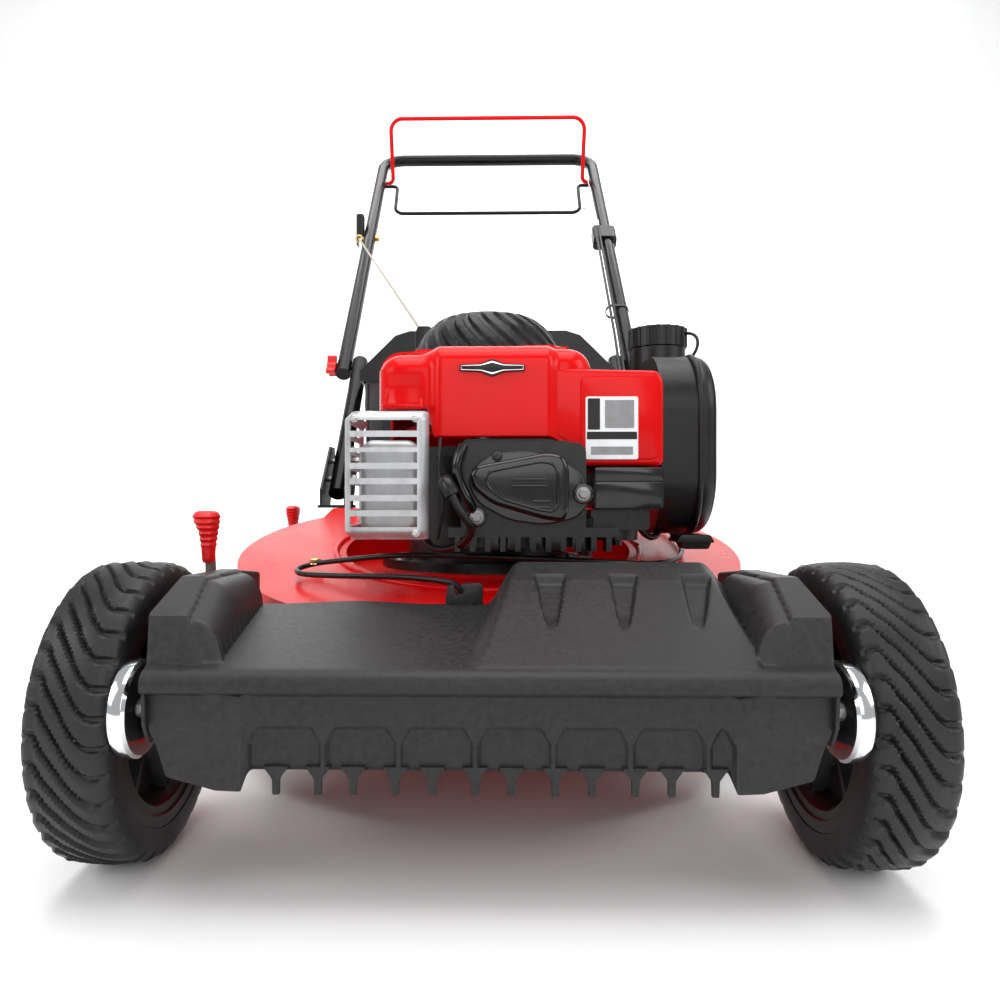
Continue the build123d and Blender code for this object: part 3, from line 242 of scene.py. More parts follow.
NODE_MAT = {
    "deck_shell": "red", "front_cover": "cover", "shaft_covers": "chrome", "gear_case": "black", "drive_belt": "tyre",
    "crankcase": "blackmetal", "engine_bolts": "grey", "cylinder_block": "blackmetal", "cylinder_head": "blackmetal",
    "valve_cover": "blackmetal", "spark_plug": "grey", "blower_housing": "redplastic", "recoil_cover": "black",
    "muffler": "silver", "muffler_guard": "silver", "air_cleaner_box": "enginegloss", "carburetor": "blackmetal", "fuel_tank": "black",
    "handle_brackets": "blackmetal", "lower_handles": "blackgloss", "handle_bolts": "zinc", "lower_cables": "black",
    "starter_rope": "rope", "rear_flap": "tyre", "crankshaft": "zinc", "flywheel": "alu", "drive_pulley": "zinc",
    "blade_adapter": "zinc", "blade": "blackmetal", "blade_bolt": "zinc", "input_pulley": "black", "drive_shaft": "zinc",
    "front_axle": "grey", "front_height_knob": "redknob", "front_wheel_nuts": "zinc", "rear_axle": "grey",
    "rear_height_knob": "redknob", "rear_wheel_nuts": "zinc", "upper_handle": "blackgloss", "rope_guide": "brass",
    "cable_clips": "black", "upper_cables": "black", "handle_knob_left": "redknob", "handle_knob_right": "redknob",
    "stop_bail": "red", "drive_bail": "blackgloss", "starter_grip": "black", "fuel_cap": "black", "rear_door": "black",
    "bag_body": "fabric", "bag_top": "black", "bag_neck": "black",
}
for w in ("front_left", "front_right", "rear_left", "rear_right"):
    NODE_MAT["tyre_" + w] = "tyre"
    NODE_MAT["rim_" + w] = "black"
for name, key in NODE_MAT.items():
    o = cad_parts.get(name)
    if o is None:
        continue
    o.data.materials.clear()
    o.data.materials.append(M[key])


# ------------------------------------------------------------ mesh helpers
def link(name, verts, faces, mat, body, node=None, smooth=True, angle=40):
    me = bpy.data.meshes.new(name)
    me.from_pydata([tuple(v) for v in verts], [], faces)
    me.validate()
    me.update()
    o = bpy.data.objects.new(name, me)
    scene.collection.objects.link(o)
    me.materials.append(M[mat])
    if smooth:
        for p in me.polygons:
            p.use_smooth = True
        if angle:
            me.set_sharp_from_angle(angle=math.radians(angle))
    if body:
        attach(o, body)
    if node:
        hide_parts(*([node] if isinstance(node, str) else node))
    return o


def modify(o, kind, **kw):
    """Add a modifier and apply it at once."""
    mod = o.modifiers.new(kind.lower(), kind)
    for k, v in kw.items():
        setattr(mod, k, v)
    dg = bpy.context.evaluated_depsgraph_get()
    ev = o.evaluated_get(dg)
    me = bpy.data.meshes.new_from_object(ev)
    old = o.data
    o.modifiers.clear()
    o.data = me
    bpy.data.meshes.remove(old)
    return o


def outward(o):
    bm = bmesh.new()
    bm.from_mesh(o.data)
    bmesh.ops.recalc_face_normals(bm, faces=bm.faces)
    bm.to_mesh(o.data)
    bm.free()
    return o


def grid_faces(nu, nv, wrap_u=False, wrap_v=False):
    """Quads over verts stored row by row, index = i * nv + j."""
    f = []
    for i in range(nu if wrap_u else nu - 1):
        for j in range(nv if wrap_v else nv - 1):
            a, b = i * nv + j, ((i + 1) % nu) * nv + j
            c, d = ((i + 1) % nu) * nv + (j + 1) % nv, i * nv + (j + 1) % nv
            f.append((a, b, c, d))
    return f


def tube(name, pts, r, mat, body, node=None, segs=12, closed=False, sub=6):
    """Round bar along a smooth line through points given in mm (x, u, z)."""
    cu = bpy.data.curves.new(name, "CURVE")
    cu.dimensions = "3D"
    sp = cu.splines.new("NURBS")
    sp.points.add(len(pts) - 1)
    for p, q in zip(sp.points, pts):
        p.co = (*P(*q), 1)
    sp.order_u = 3
    sp.use_endpoint_u = not closed
    sp.use_cyclic_u = closed
    sp.resolution_u = sub
    cu.bevel_depth = r / 1000.0
    cu.bevel_resolution = max(1, segs // 4 - 1)
    cu.use_fill_caps = True
    tmp = bpy.data.objects.new(name, cu)
    scene.collection.objects.link(tmp)
    dg = bpy.context.evaluated_depsgraph_get()
    me = bpy.data.meshes.new_from_object(tmp.evaluated_get(dg))
    bpy.data.objects.remove(tmp)
    bpy.data.curves.remove(cu)
    o = bpy.data.objects.new(name, me)
    scene.collection.objects.link(o)
    me.materials.clear()
    me.materials.append(M[mat])
    for p in me.polygons:
        p.use_smooth = True
    me.set_sharp_from_angle(angle=math.radians(50))
    if body:
        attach(o, body)
    if node:
        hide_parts(*([node] if isinstance(node, str) else node))
    return o


def prism(name, outline, lo, hi, mat, body, node=None, axis="Y", bevel=1.0, segs=3, holes=()):
    """Bevelled plate: outline in mm, given in the plane square to axis, between lo and hi along it.
    axis Y: outline (x, z), lo/hi are u.  axis X: outline (u, z).  axis Z: outline (x, u)."""
    def at(a, b, t):
        return P(a, t, b) if axis == "Y" else P(t, a, b) if axis == "X" else P(a, b, t)
    n = len(outline)
    v = [at(a, b, lo) for a, b in outline] + [at(a, b, hi) for a, b in outline]
    f = [tuple(range(n)), tuple(range(2 * n - 1, n - 1, -1))]
    for i in range(n):
        j = (i + 1) % n
        f.append((i, j, n + j, n + i))
    o = link(name, v, f, mat, None, None)
    outward(o)
    if bevel:
        modify(o, "BEVEL", width=bevel / 1000.0, segments=segs, limit_method="ANGLE", angle_limit=math.radians(35))
        o.data.materials.clear()
        o.data.materials.append(M[mat])
    for p in o.data.polygons:
        p.use_smooth = True
    o.data.set_sharp_from_angle(angle=math.radians(38))
    if body:
        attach(o, body)
    if node:
        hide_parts(*([node] if isinstance(node, str) else node))
    return o


def rounded(pts, r, n=5):
    """Outline with each corner rounded by r, as n + 1 points."""
    out = []
    k = len(pts)
    for i in range(k):
        a, b, c = Vector(pts[i - 1]), Vector(pts[i]), Vector(pts[(i + 1) % k])
        d1, d2 = (a - b), (c - b)
        q = min(r, d1.length * 0.45, d2.length * 0.45)
        s, e = b + d1.normalized() * q, b + d2.normalized() * q
        for t in range(n + 1):
            t /= n
            out.append(tuple(s * (1 - t) ** 2 + b * 2 * t * (1 - t) + e * t * t))
    return out


def rect(cx, cz, w, h, r=3.0, n=5):
    return rounded([(cx - w / 2, cz - h / 2), (cx + w / 2, cz - h / 2), (cx + w / 2, cz + h / 2), (cx - w / 2, cz + h / 2)], r, n)


def circle(cx, cz, r, n=40, r2=None):
    return [(cx + (r if (r2 is None or i % 2) else r2) * math.cos(2 * math.pi * i / n),
             cz + (r if (r2 is None or i % 2) else r2) * math.sin(2 * math.pi * i / n)) for i in range(n)]


def hexbolt(name, x, u, z, axis, r, h, body, mat="zinc"):
    """Flanged hex head; axis is the way the head points: -Y or +Z or +X/-X."""
    prof = [(0, h), (r * 0.8, h), (r * 0.98, h * 0.85), (r, h * 0.25), (r * 1.3, h * 0.2), (r * 1.35, 0)]
    v, rows, n = [], len(prof), 36
    for rad, t in prof:
        for i in range(n):
            a = 2 * math.pi * i / n
            k = rad
            if t > h * 0.22 and rad > 0:
                k = rad * math.cos(math.pi / 6) / math.cos((a % (math.pi / 3)) - math.pi / 6)
            p, q = k * math.cos(a), k * math.sin(a)
            if axis == "-Y":
                v.append(P(x + p, u - t, z + q))
            elif axis == "+Z":
                v.append(P(x + p, u + q, z + t))
            elif axis == "+X":
                v.append(P(x + t, u + p, z + q))
            else:
                v.append(P(x - t, u + p, z + q))
    f = grid_faces(rows, n, wrap_v=True)
    f.append(tuple((rows - 1) * n + i for i in range(n)))
    o = link(name, v, f, mat, body, angle=25)
    outward(o)
    return o


# ------------------------------------------------------------ starter rope, pulled tight
EYE = (-265.0, 775 + 424 * math.cos(math.radians(47.8)), 472 + 424 * math.sin(math.radians(47.8)))
ROPE_A = (-75.0, 322.4, 437.0)
d = Vector(EYE) - Vector(ROPE_A)
ROPE_B = tuple(Vector(ROPE_A) + d * ((d.length + 5.0) / d.length))


def strands(name, a, b, r, turns_mm, body, mat, count=3, n=260, segs=6):
    """Laid rope: strands winding about the straight line a-b (mm), one mesh."""
    A, B = Vector(a), Vector(b)
    L = (B - A).length
    t = (B - A).normalized()
    s1 = t.cross(Vector((0, 0, 1))).normalized()
    s2 = t.cross(s1)
    v, f = [], []
    rr = r * 0.52
    for k in range(count):
        base = len(v)
        for i in range(n):
            w = i / (n - 1)
            ang = 2 * math.pi * (w * L / turns_mm + k / count)
            c = A + t * (w * L) + (s1 * math.cos(ang) + s2 * math.sin(ang)) * (r - rr)
            for j in range(segs):
                g = 2 * math.pi * j / segs
                q = c + (s1 * math.cos(g) + s2 * math.sin(g)) * rr
                v.append(P(*q))
        for face in grid_faces(n, segs, wrap_v=True):
            f.append(tuple(base + x for x in face))
        f.append(tuple(base + j for j in range(segs)))
        f.append(tuple(base + (n - 1) * segs + j for j in range(segs)))
    o = link(name, v, f, mat, body)
    outward(o)
    return o, L


rope, rope_len = strands("rope_strands", ROPE_A, ROPE_B, 2.0, 16.0, None, "rope", n=520)
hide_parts("starter_rope")
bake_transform(rope)


# ------------------------------------------------------------ tyres and wheel centres
def wheel(name, sx, u, body):
    R, N, SUB = 101.8, 36, 14
    nt = N * SUB
    # across the tyre: (x from the outer side, radius, share of the lug depth)
    prof = [(-273.2, 80, 0), (-273.9, 86, 0), (-273.8, 91, 0), (-272.6, 95.5, .35), (-270.4, 98.9, .8), (-267.0, 100.8, 1)]
    k = 20
    for i in range(k + 1):
        x = -264.0 + 34.0 * i / k
        crown = R - 1.1 * ((x + 247) / 17.0) ** 2
        prof.append((x, crown, 1))
    prof += [(-227.0, 100.6, 1), (-223.6, 98.7, .8), (-221.4, 95.5, .35), (-220.3, 91, 0), (-220.2, 86, 0), (-220.9, 80, 0)]
    nv = len(prof)
    v = []
    for i in range(nt):
        th = 2 * math.pi * i / nt
        for (x, r, share) in prof:
            X = x if sx < 0 else -x - 0.0
            # the same directional pattern on both sides: it falls away with growing x
            s = (X - (-274 if sx < 0 else 220)) / 54.0
            wave = 0.42 * math.sin(math.pi * clamp(s / 0.30)) * (1 - sstep(s, 0.15, 0.42)) - 2.15 * sstep(s, 0.16, 0.80)
            ph = (th * N / (2 * math.pi) - wave) % 1.0
            # lug flank, then a narrow groove
            top = 1 - sstep(ph, 0.0, 0.10) * (1 - sstep(ph, 0.20, 0.30))
            lean = 0.9 * (ph - 0.25) if ph > 0.25 else 0.0
            rr = r - share * (3.6 * (1 - top)) - share * 0.9 * (1 - sstep(ph, 0.3, 0.95)) * top
            a = th
            v.append(P(X, u - rr * math.cos(a), 102 + rr * math.sin(a)))
    f = grid_faces(nt, nv, wrap_u=True)
    # seat of the tyre on the rim
    o = link(name, v, f, "tyre", None, angle=32)
    bm = bmesh.new()
    bm.from_mesh(o.data)
    bm.verts.ensure_lookup_table()
    inner = [bm.verts[i * nv] for i in range(nt)]
    outer = [bm.verts[i * nv + nv - 1] for i in range(nt)]
    for i in range(nt):
        j = (i + 1) % nt
        bm.faces.new((inner[i], outer[i], outer[j], inner[j]))
    bmesh.ops.recalc_face_normals(bm, faces=bm.faces)
    bm.to_mesh(o.data)
    bm.free()
    for p in o.data.polygons:
        p.use_smooth = True
    o.data.set_sharp_from_angle(angle=math.radians(32))
    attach(o, body)
    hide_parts("tyre_" + name[5:])

    # wheel centre: hub, web with seven ribs each side, stepped rim
    def ribs(th, r, deep):
        q = (th * 7 / (2 * math.pi)) % 1.0
        near = min(q, 1 - q) * (2 * math.pi / 7) * r
        return deep * (1 - sstep(near, 2.0, 5.0))
    rp = [(219.8, 7.2, 0), (219.8, 16.5, 0), (222.0, 18, 0), (240.5, 19.5, .0), (241.5, 23, 1), (241.5, 40, 1), (240.0, 58, 1),
          (236.0, 62, .6), (226.5, 64, 0), (224.0, 66, 0), (223.6, 71, 0), (222.0, 72.5, 0), (221.6, 79.5, 0), (222.6, 80.2, 0),
          (271.4, 80.2, 0), (272.6, 79.5, 0), (272.0, 74, 0), (269.0, 72, 0), (264.0, 69.5, 0), (260.0, 66, -.4), (252.5, 62, -1),
          (249.5, 56, -1), (248.5, 40, -1), (248.5, 24, -1), (250.0, 20.5, 0), (261.0, 18.5, 0), (262.0, 17, 0), (262.0, 7.2, 0)]
    n2 = 168
    vv = []
    for i in range(n2):
        th = 2 * math.pi * i / n2
        for (x, r, sh) in rp:
            x2 = x - (ribs(th, r, 9.0) * sh if sh > 0 else ribs(th, r, 7.0) * sh)
            vv.append(P(sx * x2, u - r * math.cos(th), 102 + r * math.sin(th)))
    c = link("centre_" + name[5:], vv, grid_faces(n2, len(rp), wrap_u=True, wrap_v=True), "black", body, "rim_" + name[5:], angle=35)
    outward(c)
    c.data.set_sharp_from_angle(angle=math.radians(35))


wheel("tyre_front_left", 1, 0.0, "wheel_front_left")
wheel("tyre_front_right", -1, 0.0, "wheel_front_right")
wheel("tyre_rear_left", 1, 590.0, "wheel_rear_left")
wheel("tyre_rear_right", -1, 590.0, "wheel_rear_right")


# ------------------------------------------------------------ front cover
TINES = [-121.3, -97.1, -76.8, -52.6, -31.5, -7.0, 13.8, 38.6, 59.7, 84.1, 104.7, 129.4]


def subdivide(pts, step=12.0):
    out = [pts[0]]
    for a, b in zip(pts, pts[1:]):
        k = max(1, int(math.dist(a, b) / step))
        out += [(lerp(a[0], b[0], i / k), lerp(a[1], b[1], i / k)) for i in range(1, k + 1)]
    return out


def cover_height(x, u):
    ax = abs(x)
    base = 149.8 + (u + 97) * 0.119
    h = base
    # soft fold across the left half
    if x < 60 and u > -60:
        h += 2.2 * (1 - sstep(abs(x - lerp(-100, 30, clamp((51 - u) / 110))), 0, 60)) * clamp((u + 60) / 110) * (1 if x < 0 else clamp((60 - x) / 60))
    # fender boxes and the convex fillet beside them
    top = interp(u, [-97, -91, -87, -80, -26, 51, 110], [base, 147.5, 158, 177, 196, 194, 188]) if u > -97 else base
    xin = interp(u, [-97, -80, -26, 51], [161, 180, 188, 190])
    xout = interp(u, [-97, 51], [158, 173])
    if u > -97:
        if ax >= xin:
            h = max(h, top - 1.6 * (1 - sstep(ax - xin, 0, 3)))
        elif ax > xout:
            t = (xin - ax) / (xin - xout)
            h = max(h, base + (top - 3 - base) * math.sqrt(max(0.0, 1 - t * t)))
    # engine-side hump
    hh = interp(u, [-97, -95, -85, 8, 14, 60], [base, 151, 154.5, 187.5, 189.8, 202])
    lo = interp(u, [-95, 51], [-13, -2])
    li = interp(u, [-95, 15, 60], [-2, 19, 26])
    ri = interp(u, [-95, 15, 60], [160, 159, 161])
    ro = interp(u, [-95, -6, 50], [163, 176, 194])
    if lo < x < ro:
        side = sstep(x, lo, li) if x < li else (1 - sstep(x, ri, ro)) if x > ri else 1.0
        h = max(h, base + (hh - base) * side)
        # three tapering recesses in the sloping face
        for x0, x1, xt in ((34, 57, 40.5), (88, 109, 85.8), (140, 162, 132)):
            t = clamp((u + 58) / 81.0)
            if 0 < t and u < 26:
                c = lerp(xt, (x0 + x1) / 2, t)
                w = lerp(1.5, (x1 - x0) / 2, t ** 0.8)
                e = abs(x - c) / w
                deep = 6.5 * sstep(t, 0.0, 0.45) * (1 - sstep(u, 20, 26))
                h -= deep * (1 - sstep(e, 0.72, 1.06))
    return h


def taper(u):
    return lerp(1.0, 198.6 / 205.0, clamp((-76 - u) / 22.0))


def front_cover():
    xs = [-205 + i * 1.25 for i in range(329)]
    us = [51 - i * 1.45 for i in range(103)]      # 51 .. -96.9
    nv = len(xs)
    v = []
    rows = 0

    def row(fn):
        nonlocal rows
        for x in xs:
            u, z = fn(x)
            v.append(P(x * taper(u), u, z))
        rows += 1
    # rear lip, then the top from back to front
    row(lambda x: (49.0, cover_height(x, 51) - 24))
    row(lambda x: (50.6, cover_height(x, 51) - 4))
    for u in us:
        row(lambda x, u=u: (u, cover_height(x, u)))
    # rounded nose
    for i in range(1, 9):
        a = math.pi / 2 * i / 8
        row(lambda x, a=a: (-97 - 9.5 * math.sin(a), 141.0 + 8.6 * math.cos(a)))
    row(lambda x: (-106.5, 139.0))
    row(lambda x: (-105.8, 137.2))
    row(lambda x: (-103.2, 135.6))

    # front band: hollowed between the corner blocks, with upright panels below
    def depth(x, z):
        ax = abs(x)
        if ax > 146:
            return -104.5 + (ax - 146) * 0.10 + 1.5 * sstep(z, 120, 104)
        edge = sstep(ax, 138, 147)
        d = lerp(-102.2, -104.5, edge)
        cuts = [-143, -97.1, -52.6, -7.0, 38.6, 84.1, 129.4, 146]
        for a, b in zip(cuts, cuts[1:]):
            if a <= x <= b:
                w = min(x - a, b - x)
                head = 118.5 - 9 * (1 - sstep(w, 0.8, 8))
                if z < head:
                    d += 3.0 * sstep(head - z, 0, 4) * sstep(w, 0.8, 3.2)
        return d

    def bottom(x):
        ax = abs(x)
        if ax <= 141:
            return 92.3
        b = lerp(92.3, 80.5, sstep(ax, 141, 147))
        return b + interp(ax, [162, 192, 198, 205], [0, 6.5, 24, 40])
    for i in range(0, 27):
        t = i / 26
        row(lambda x, t=t: (depth(x, lerp(134.6, bottom(x), t)), lerp(134.6, bottom(x), t)))
    row(lambda x: (depth(x, bottom(x)) + 2.0, bottom(x) - 1.0))
    row(lambda x: (-90 if abs(x) > 143 else -99.0, bottom(x) + (4 if abs(x) > 143 else 1.5)))
    o = link("cover_shell", v, grid_faces(rows, nv), "cover", None)
    outward(o)
    modify(o, "SOLIDIFY", thickness=0.0022, offset=-1.0)
    o.data.materials.clear()
    o.data.materials.append(M["cover"])
    for p in o.data.polygons:
        p.use_smooth = True
    o.data.set_sharp_from_angle(angle=math.radians(42))
    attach(o, "chassis")
    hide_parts("front_cover")
    # side cheeks with the axle arch
    for s in (-1, 1):
        pts = [(-104, 138), (-99, 147.5), (-91, 149), (-87, 158), (-80, 175.5), (-26, 194.5), (51, 192.5), (108, 186), (108, 120), (34, 120)]
        pts = subdivide(pts)
        pts += [(9 + 24 * math.cos(a), 104 + 20 * math.sin(a)) for a in [math.radians(q) for q in range(10, 171, 16)]]
        pts += [(-17, 92), (-60, 100), (-92, 104), (-103, 118)]
        ck = prism("cover_cheek_%s" % ("left" if s > 0 else "right"), pts, s * 205.0, s * 202.4, "cover", "chassis",
                   axis="X", bevel=0.9, segs=2)
        for q in ck.data.vertices:
            q.co.x *= taper(q.co.y * 1000 - YF)
        # fender rear part over the wheel arm, with a turned lip
        pts = [(50, 160), (50, 193.5), (108, 187), (108, 166)]
        prism("cover_fender_rear_%s" % ("left" if s > 0 else "right"), pts, s * 191.0, s * 203.0, "cover", "chassis", axis="X",
              bevel=3.0, segs=3)
    # comb along the lower edge: each tine is narrow at the tip and webbed at the root
    for k, x in enumerate(TINES):
        w, tip = 2.0, 78.2
        pts = [(x - w, tip), (x + w, tip), (x + w + 0.3, 87.0), (x + w + 1.2, 88.6), (x + 7.6, 94.5), (x - 7.6, 94.5), (x - w - 1.2, 88.6), (x - w - 0.3, 87.0)]
        prism("cover_tine_%02d" % (k + 1), pts, -102.0, -98.8, "cover", "chassis", bevel=0.6, segs=2)
    # cable tab on the rear edge of the slope
    pts = [(-32.5, 165), (-31, 181), (-25.5, 182.2), (-24.6, 176.5), (-22.6, 174.6), (-20.6, 176.5), (-19.8, 182.8), (-6, 183.5), (-3.4, 181), (-3.4, 165)]
    prism("cover_cable_tab", pts, 49.5, 55.0, "cover", "chassis", bevel=0.8, segs=2)


front_cover()


# ------------------------------------------------------------ height levers
def height_knob(name, node, x0, x1, u, z0, z1, body):
    """Flared grip with cross ribs on its outer face."""
    cx, hw = (x0 + x1) / 2, (x1 - x0) / 2
    rows, n = 44, 28
    v = []
    du = (34, 58) if "front" in name else (450, 488)
    cu = (du[0] + du[1]) / 2
    hd = (du[1] - du[0]) / 2
    for i in range(rows):
        t = i / (rows - 1)
        z = lerp(z0, z1, t)
        k = interp(t, [0, 0.06, 0.25, 0.7, 0.9, 0.97, 1], [0.50, 0.60, 0.66, 0.95, 0.97, 0.8, 0.45])
        rib = 0.055 * math.cos(2 * math.pi * t * 9) if 0.3 < t < 0.92 else 0
        for j in range(n):
            a = 2 * math.pi * j / n
            ca, sa = math.cos(a), math.sin(a)
            p = abs(ca) ** 0.6 * (1 if ca >= 0 else -1)
            q = abs(sa) ** 0.6 * (1 if sa >= 0 else -1)
            flare = sstep(t, 0.55, 0.9) if "front" in name else 0
            wide = hw * (k + rib) + 2.6 * flare
            v.append(P(cx - 1.6 * flare + wide * p, cu + hd * (k + rib) * q, z))
    f = grid_faces(rows, n, wrap_v=True) + [tuple(range(n)), tuple((rows - 1) * n + j for j in range(n))]
    o = link(name, v, f, "redknob", body, node)
    outward(o)
    return o


height_knob("front_lever_grip", "front_height_knob", -219.2, -206.8, 46, 199.5, 238.8, "front_height_arm")
height_knob("rear_lever_grip", "rear_height_knob", -261.0, -247.0, 469, 206.5, 239.5, "rear_height_arm")


# ------------------------------------------------------------ control cables, one run each across the folding joint
def leg(x, s, off):
    c, q = math.cos(math.radians(47.8)), math.sin(math.radians(47.8))
    return (x, 775 + s * c - off * q, 472 + s * q + off * c)


STOP = [leg(227.2, 452, 16.2), leg(227.2, 410, 16.2), leg(227.0, 300, 16.2), leg(227.0, 165, 16.2), leg(227.0, 70, 16.2), leg(226.0, 30, 16.6), leg(224.4, -30, 17.2),
        leg(224.0, -110, 17.4), leg(222.0, -185, 18.5), (206, 588, 334), (186, 538, 318), (160, 480, 304), (130, 425, 300), (108, 385, 284), (98, 352, 258)]
DRIVE = [leg(220.8, 452, 16.2), leg(220.8, 410, 16.2), leg(220.6, 300, 16.2), leg(220.4, 165, 16.2), leg(220.2, 70, 16.2), leg(219.2, 30, 16.6), leg(217.6, -30, 17.2),
         leg(217.4, -110, 17.4), leg(215.0, -185, 18.5), (196, 586, 322), (182, 540, 288), (182, 500, 254), (190, 450, 236), (200, 395, 223), (206, 330, 210.5), (202, 265, 198),
         (184, 205, 190), (150, 158, 189), (100, 138, 193), (40, 134, 196), (-20, 138, 198), (-80, 150, 198), (-130, 170, 192), (-164, 190, 187), (-178, 176, 183),
         (-170, 152, 180.5), (-140, 132, 181), (-100, 112, 182.5), (-66, 90, 184), (-30, 66, 183), (-22.6, 58, 180.5), (-21, 46, 178)]
stop_cable = tube("stop_cable_run", STOP, 2.5, "black", None, "lower_cables", sub=8)
drive_cable = tube("drive_cable_run", DRIVE, 2.5, "black", None, "lower_cables", sub=8)

for cable, x in ((stop_cable, 225.0), (drive_cable, 218.0)):
    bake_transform(cable)


def wires():
    parts = []
    for a, b in ((leg(227.2, 450, 16.2), (225, 1228, 984)), (leg(220.8, 450, 16.2), (212.6, 1180, 894))):
        pts = [tuple(Vector(a).lerp(Vector(b), i / 5)) for i in range(6)]
        parts.append(tube("wire", pts, 1.1, "zinc", None, sub=4))
    for x, u, z in ((225, 1228, 984), (212.6, 1180, 894)):
        parts.append(tube("wire_end", [(x, u - 4, z - 7), (x, u - 1, z + 1), (x, u + 5, z + 3), (x, u + 8, z - 2)], 1.5, "zinc", None, sub=6))
    for x in (227.2, 220.8):
        a, b = leg(x, 440, 16.2), leg(x, 462, 16.6)
        parts.append(tube("wire_ferrule", [a, tuple(Vector(a).lerp(Vector(b), .5)), b], 3.0, "zinc", None))
    bpy.ops.object.select_all(action="DESELECT")
    for p in parts:
        p.select_set(True)
    bpy.context.view_layer.objects.active = parts[0]
    bpy.ops.object.join()
    parts[0].name = "bail_wires"
    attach(parts[0], "folding_handle")
    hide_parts("upper_cables")


wires()


# ------------------------------------------------------------ engine shroud
def plan(cx, cy, r, x0, x1, y0, corner=30, n=200):
    """Plan outline: straight front between x0 and x1 at depth y0 joined to a round back, points spaced evenly."""
    pts = [(x0, cy)]
    a0 = math.acos(clamp((x0 - cx) / r, -1, 1))
    a1 = math.acos(clamp((x1 - cx) / r, -1, 1))
    back = []
    k = 60
    for i in range(k + 1):
        a = lerp(a0, a1, i / k)
        back.append((cx + r * math.cos(a), cy + r * math.sin(a)))
    base = [(x0, y0), ] + back + [(x1, y0)]
    poly = rounded(base, corner, 12)
    # even spacing
    seg = [(Vector(poly[(i + 1) % len(poly)]) - Vector(poly[i])).length for i in range(len(poly))]
    total = sum(seg)
    out, i, acc = [], 0, 0.0
    for k in range(n):
        d = total * k / n
        while acc + seg[i] < d:
            acc += seg[i]
            i += 1
        t = (d - acc) / max(seg[i], 1e-6)
        out.append(tuple(Vector(poly[i]).lerp(Vector(poly[(i + 1) % len(poly)]), t)))
    return out


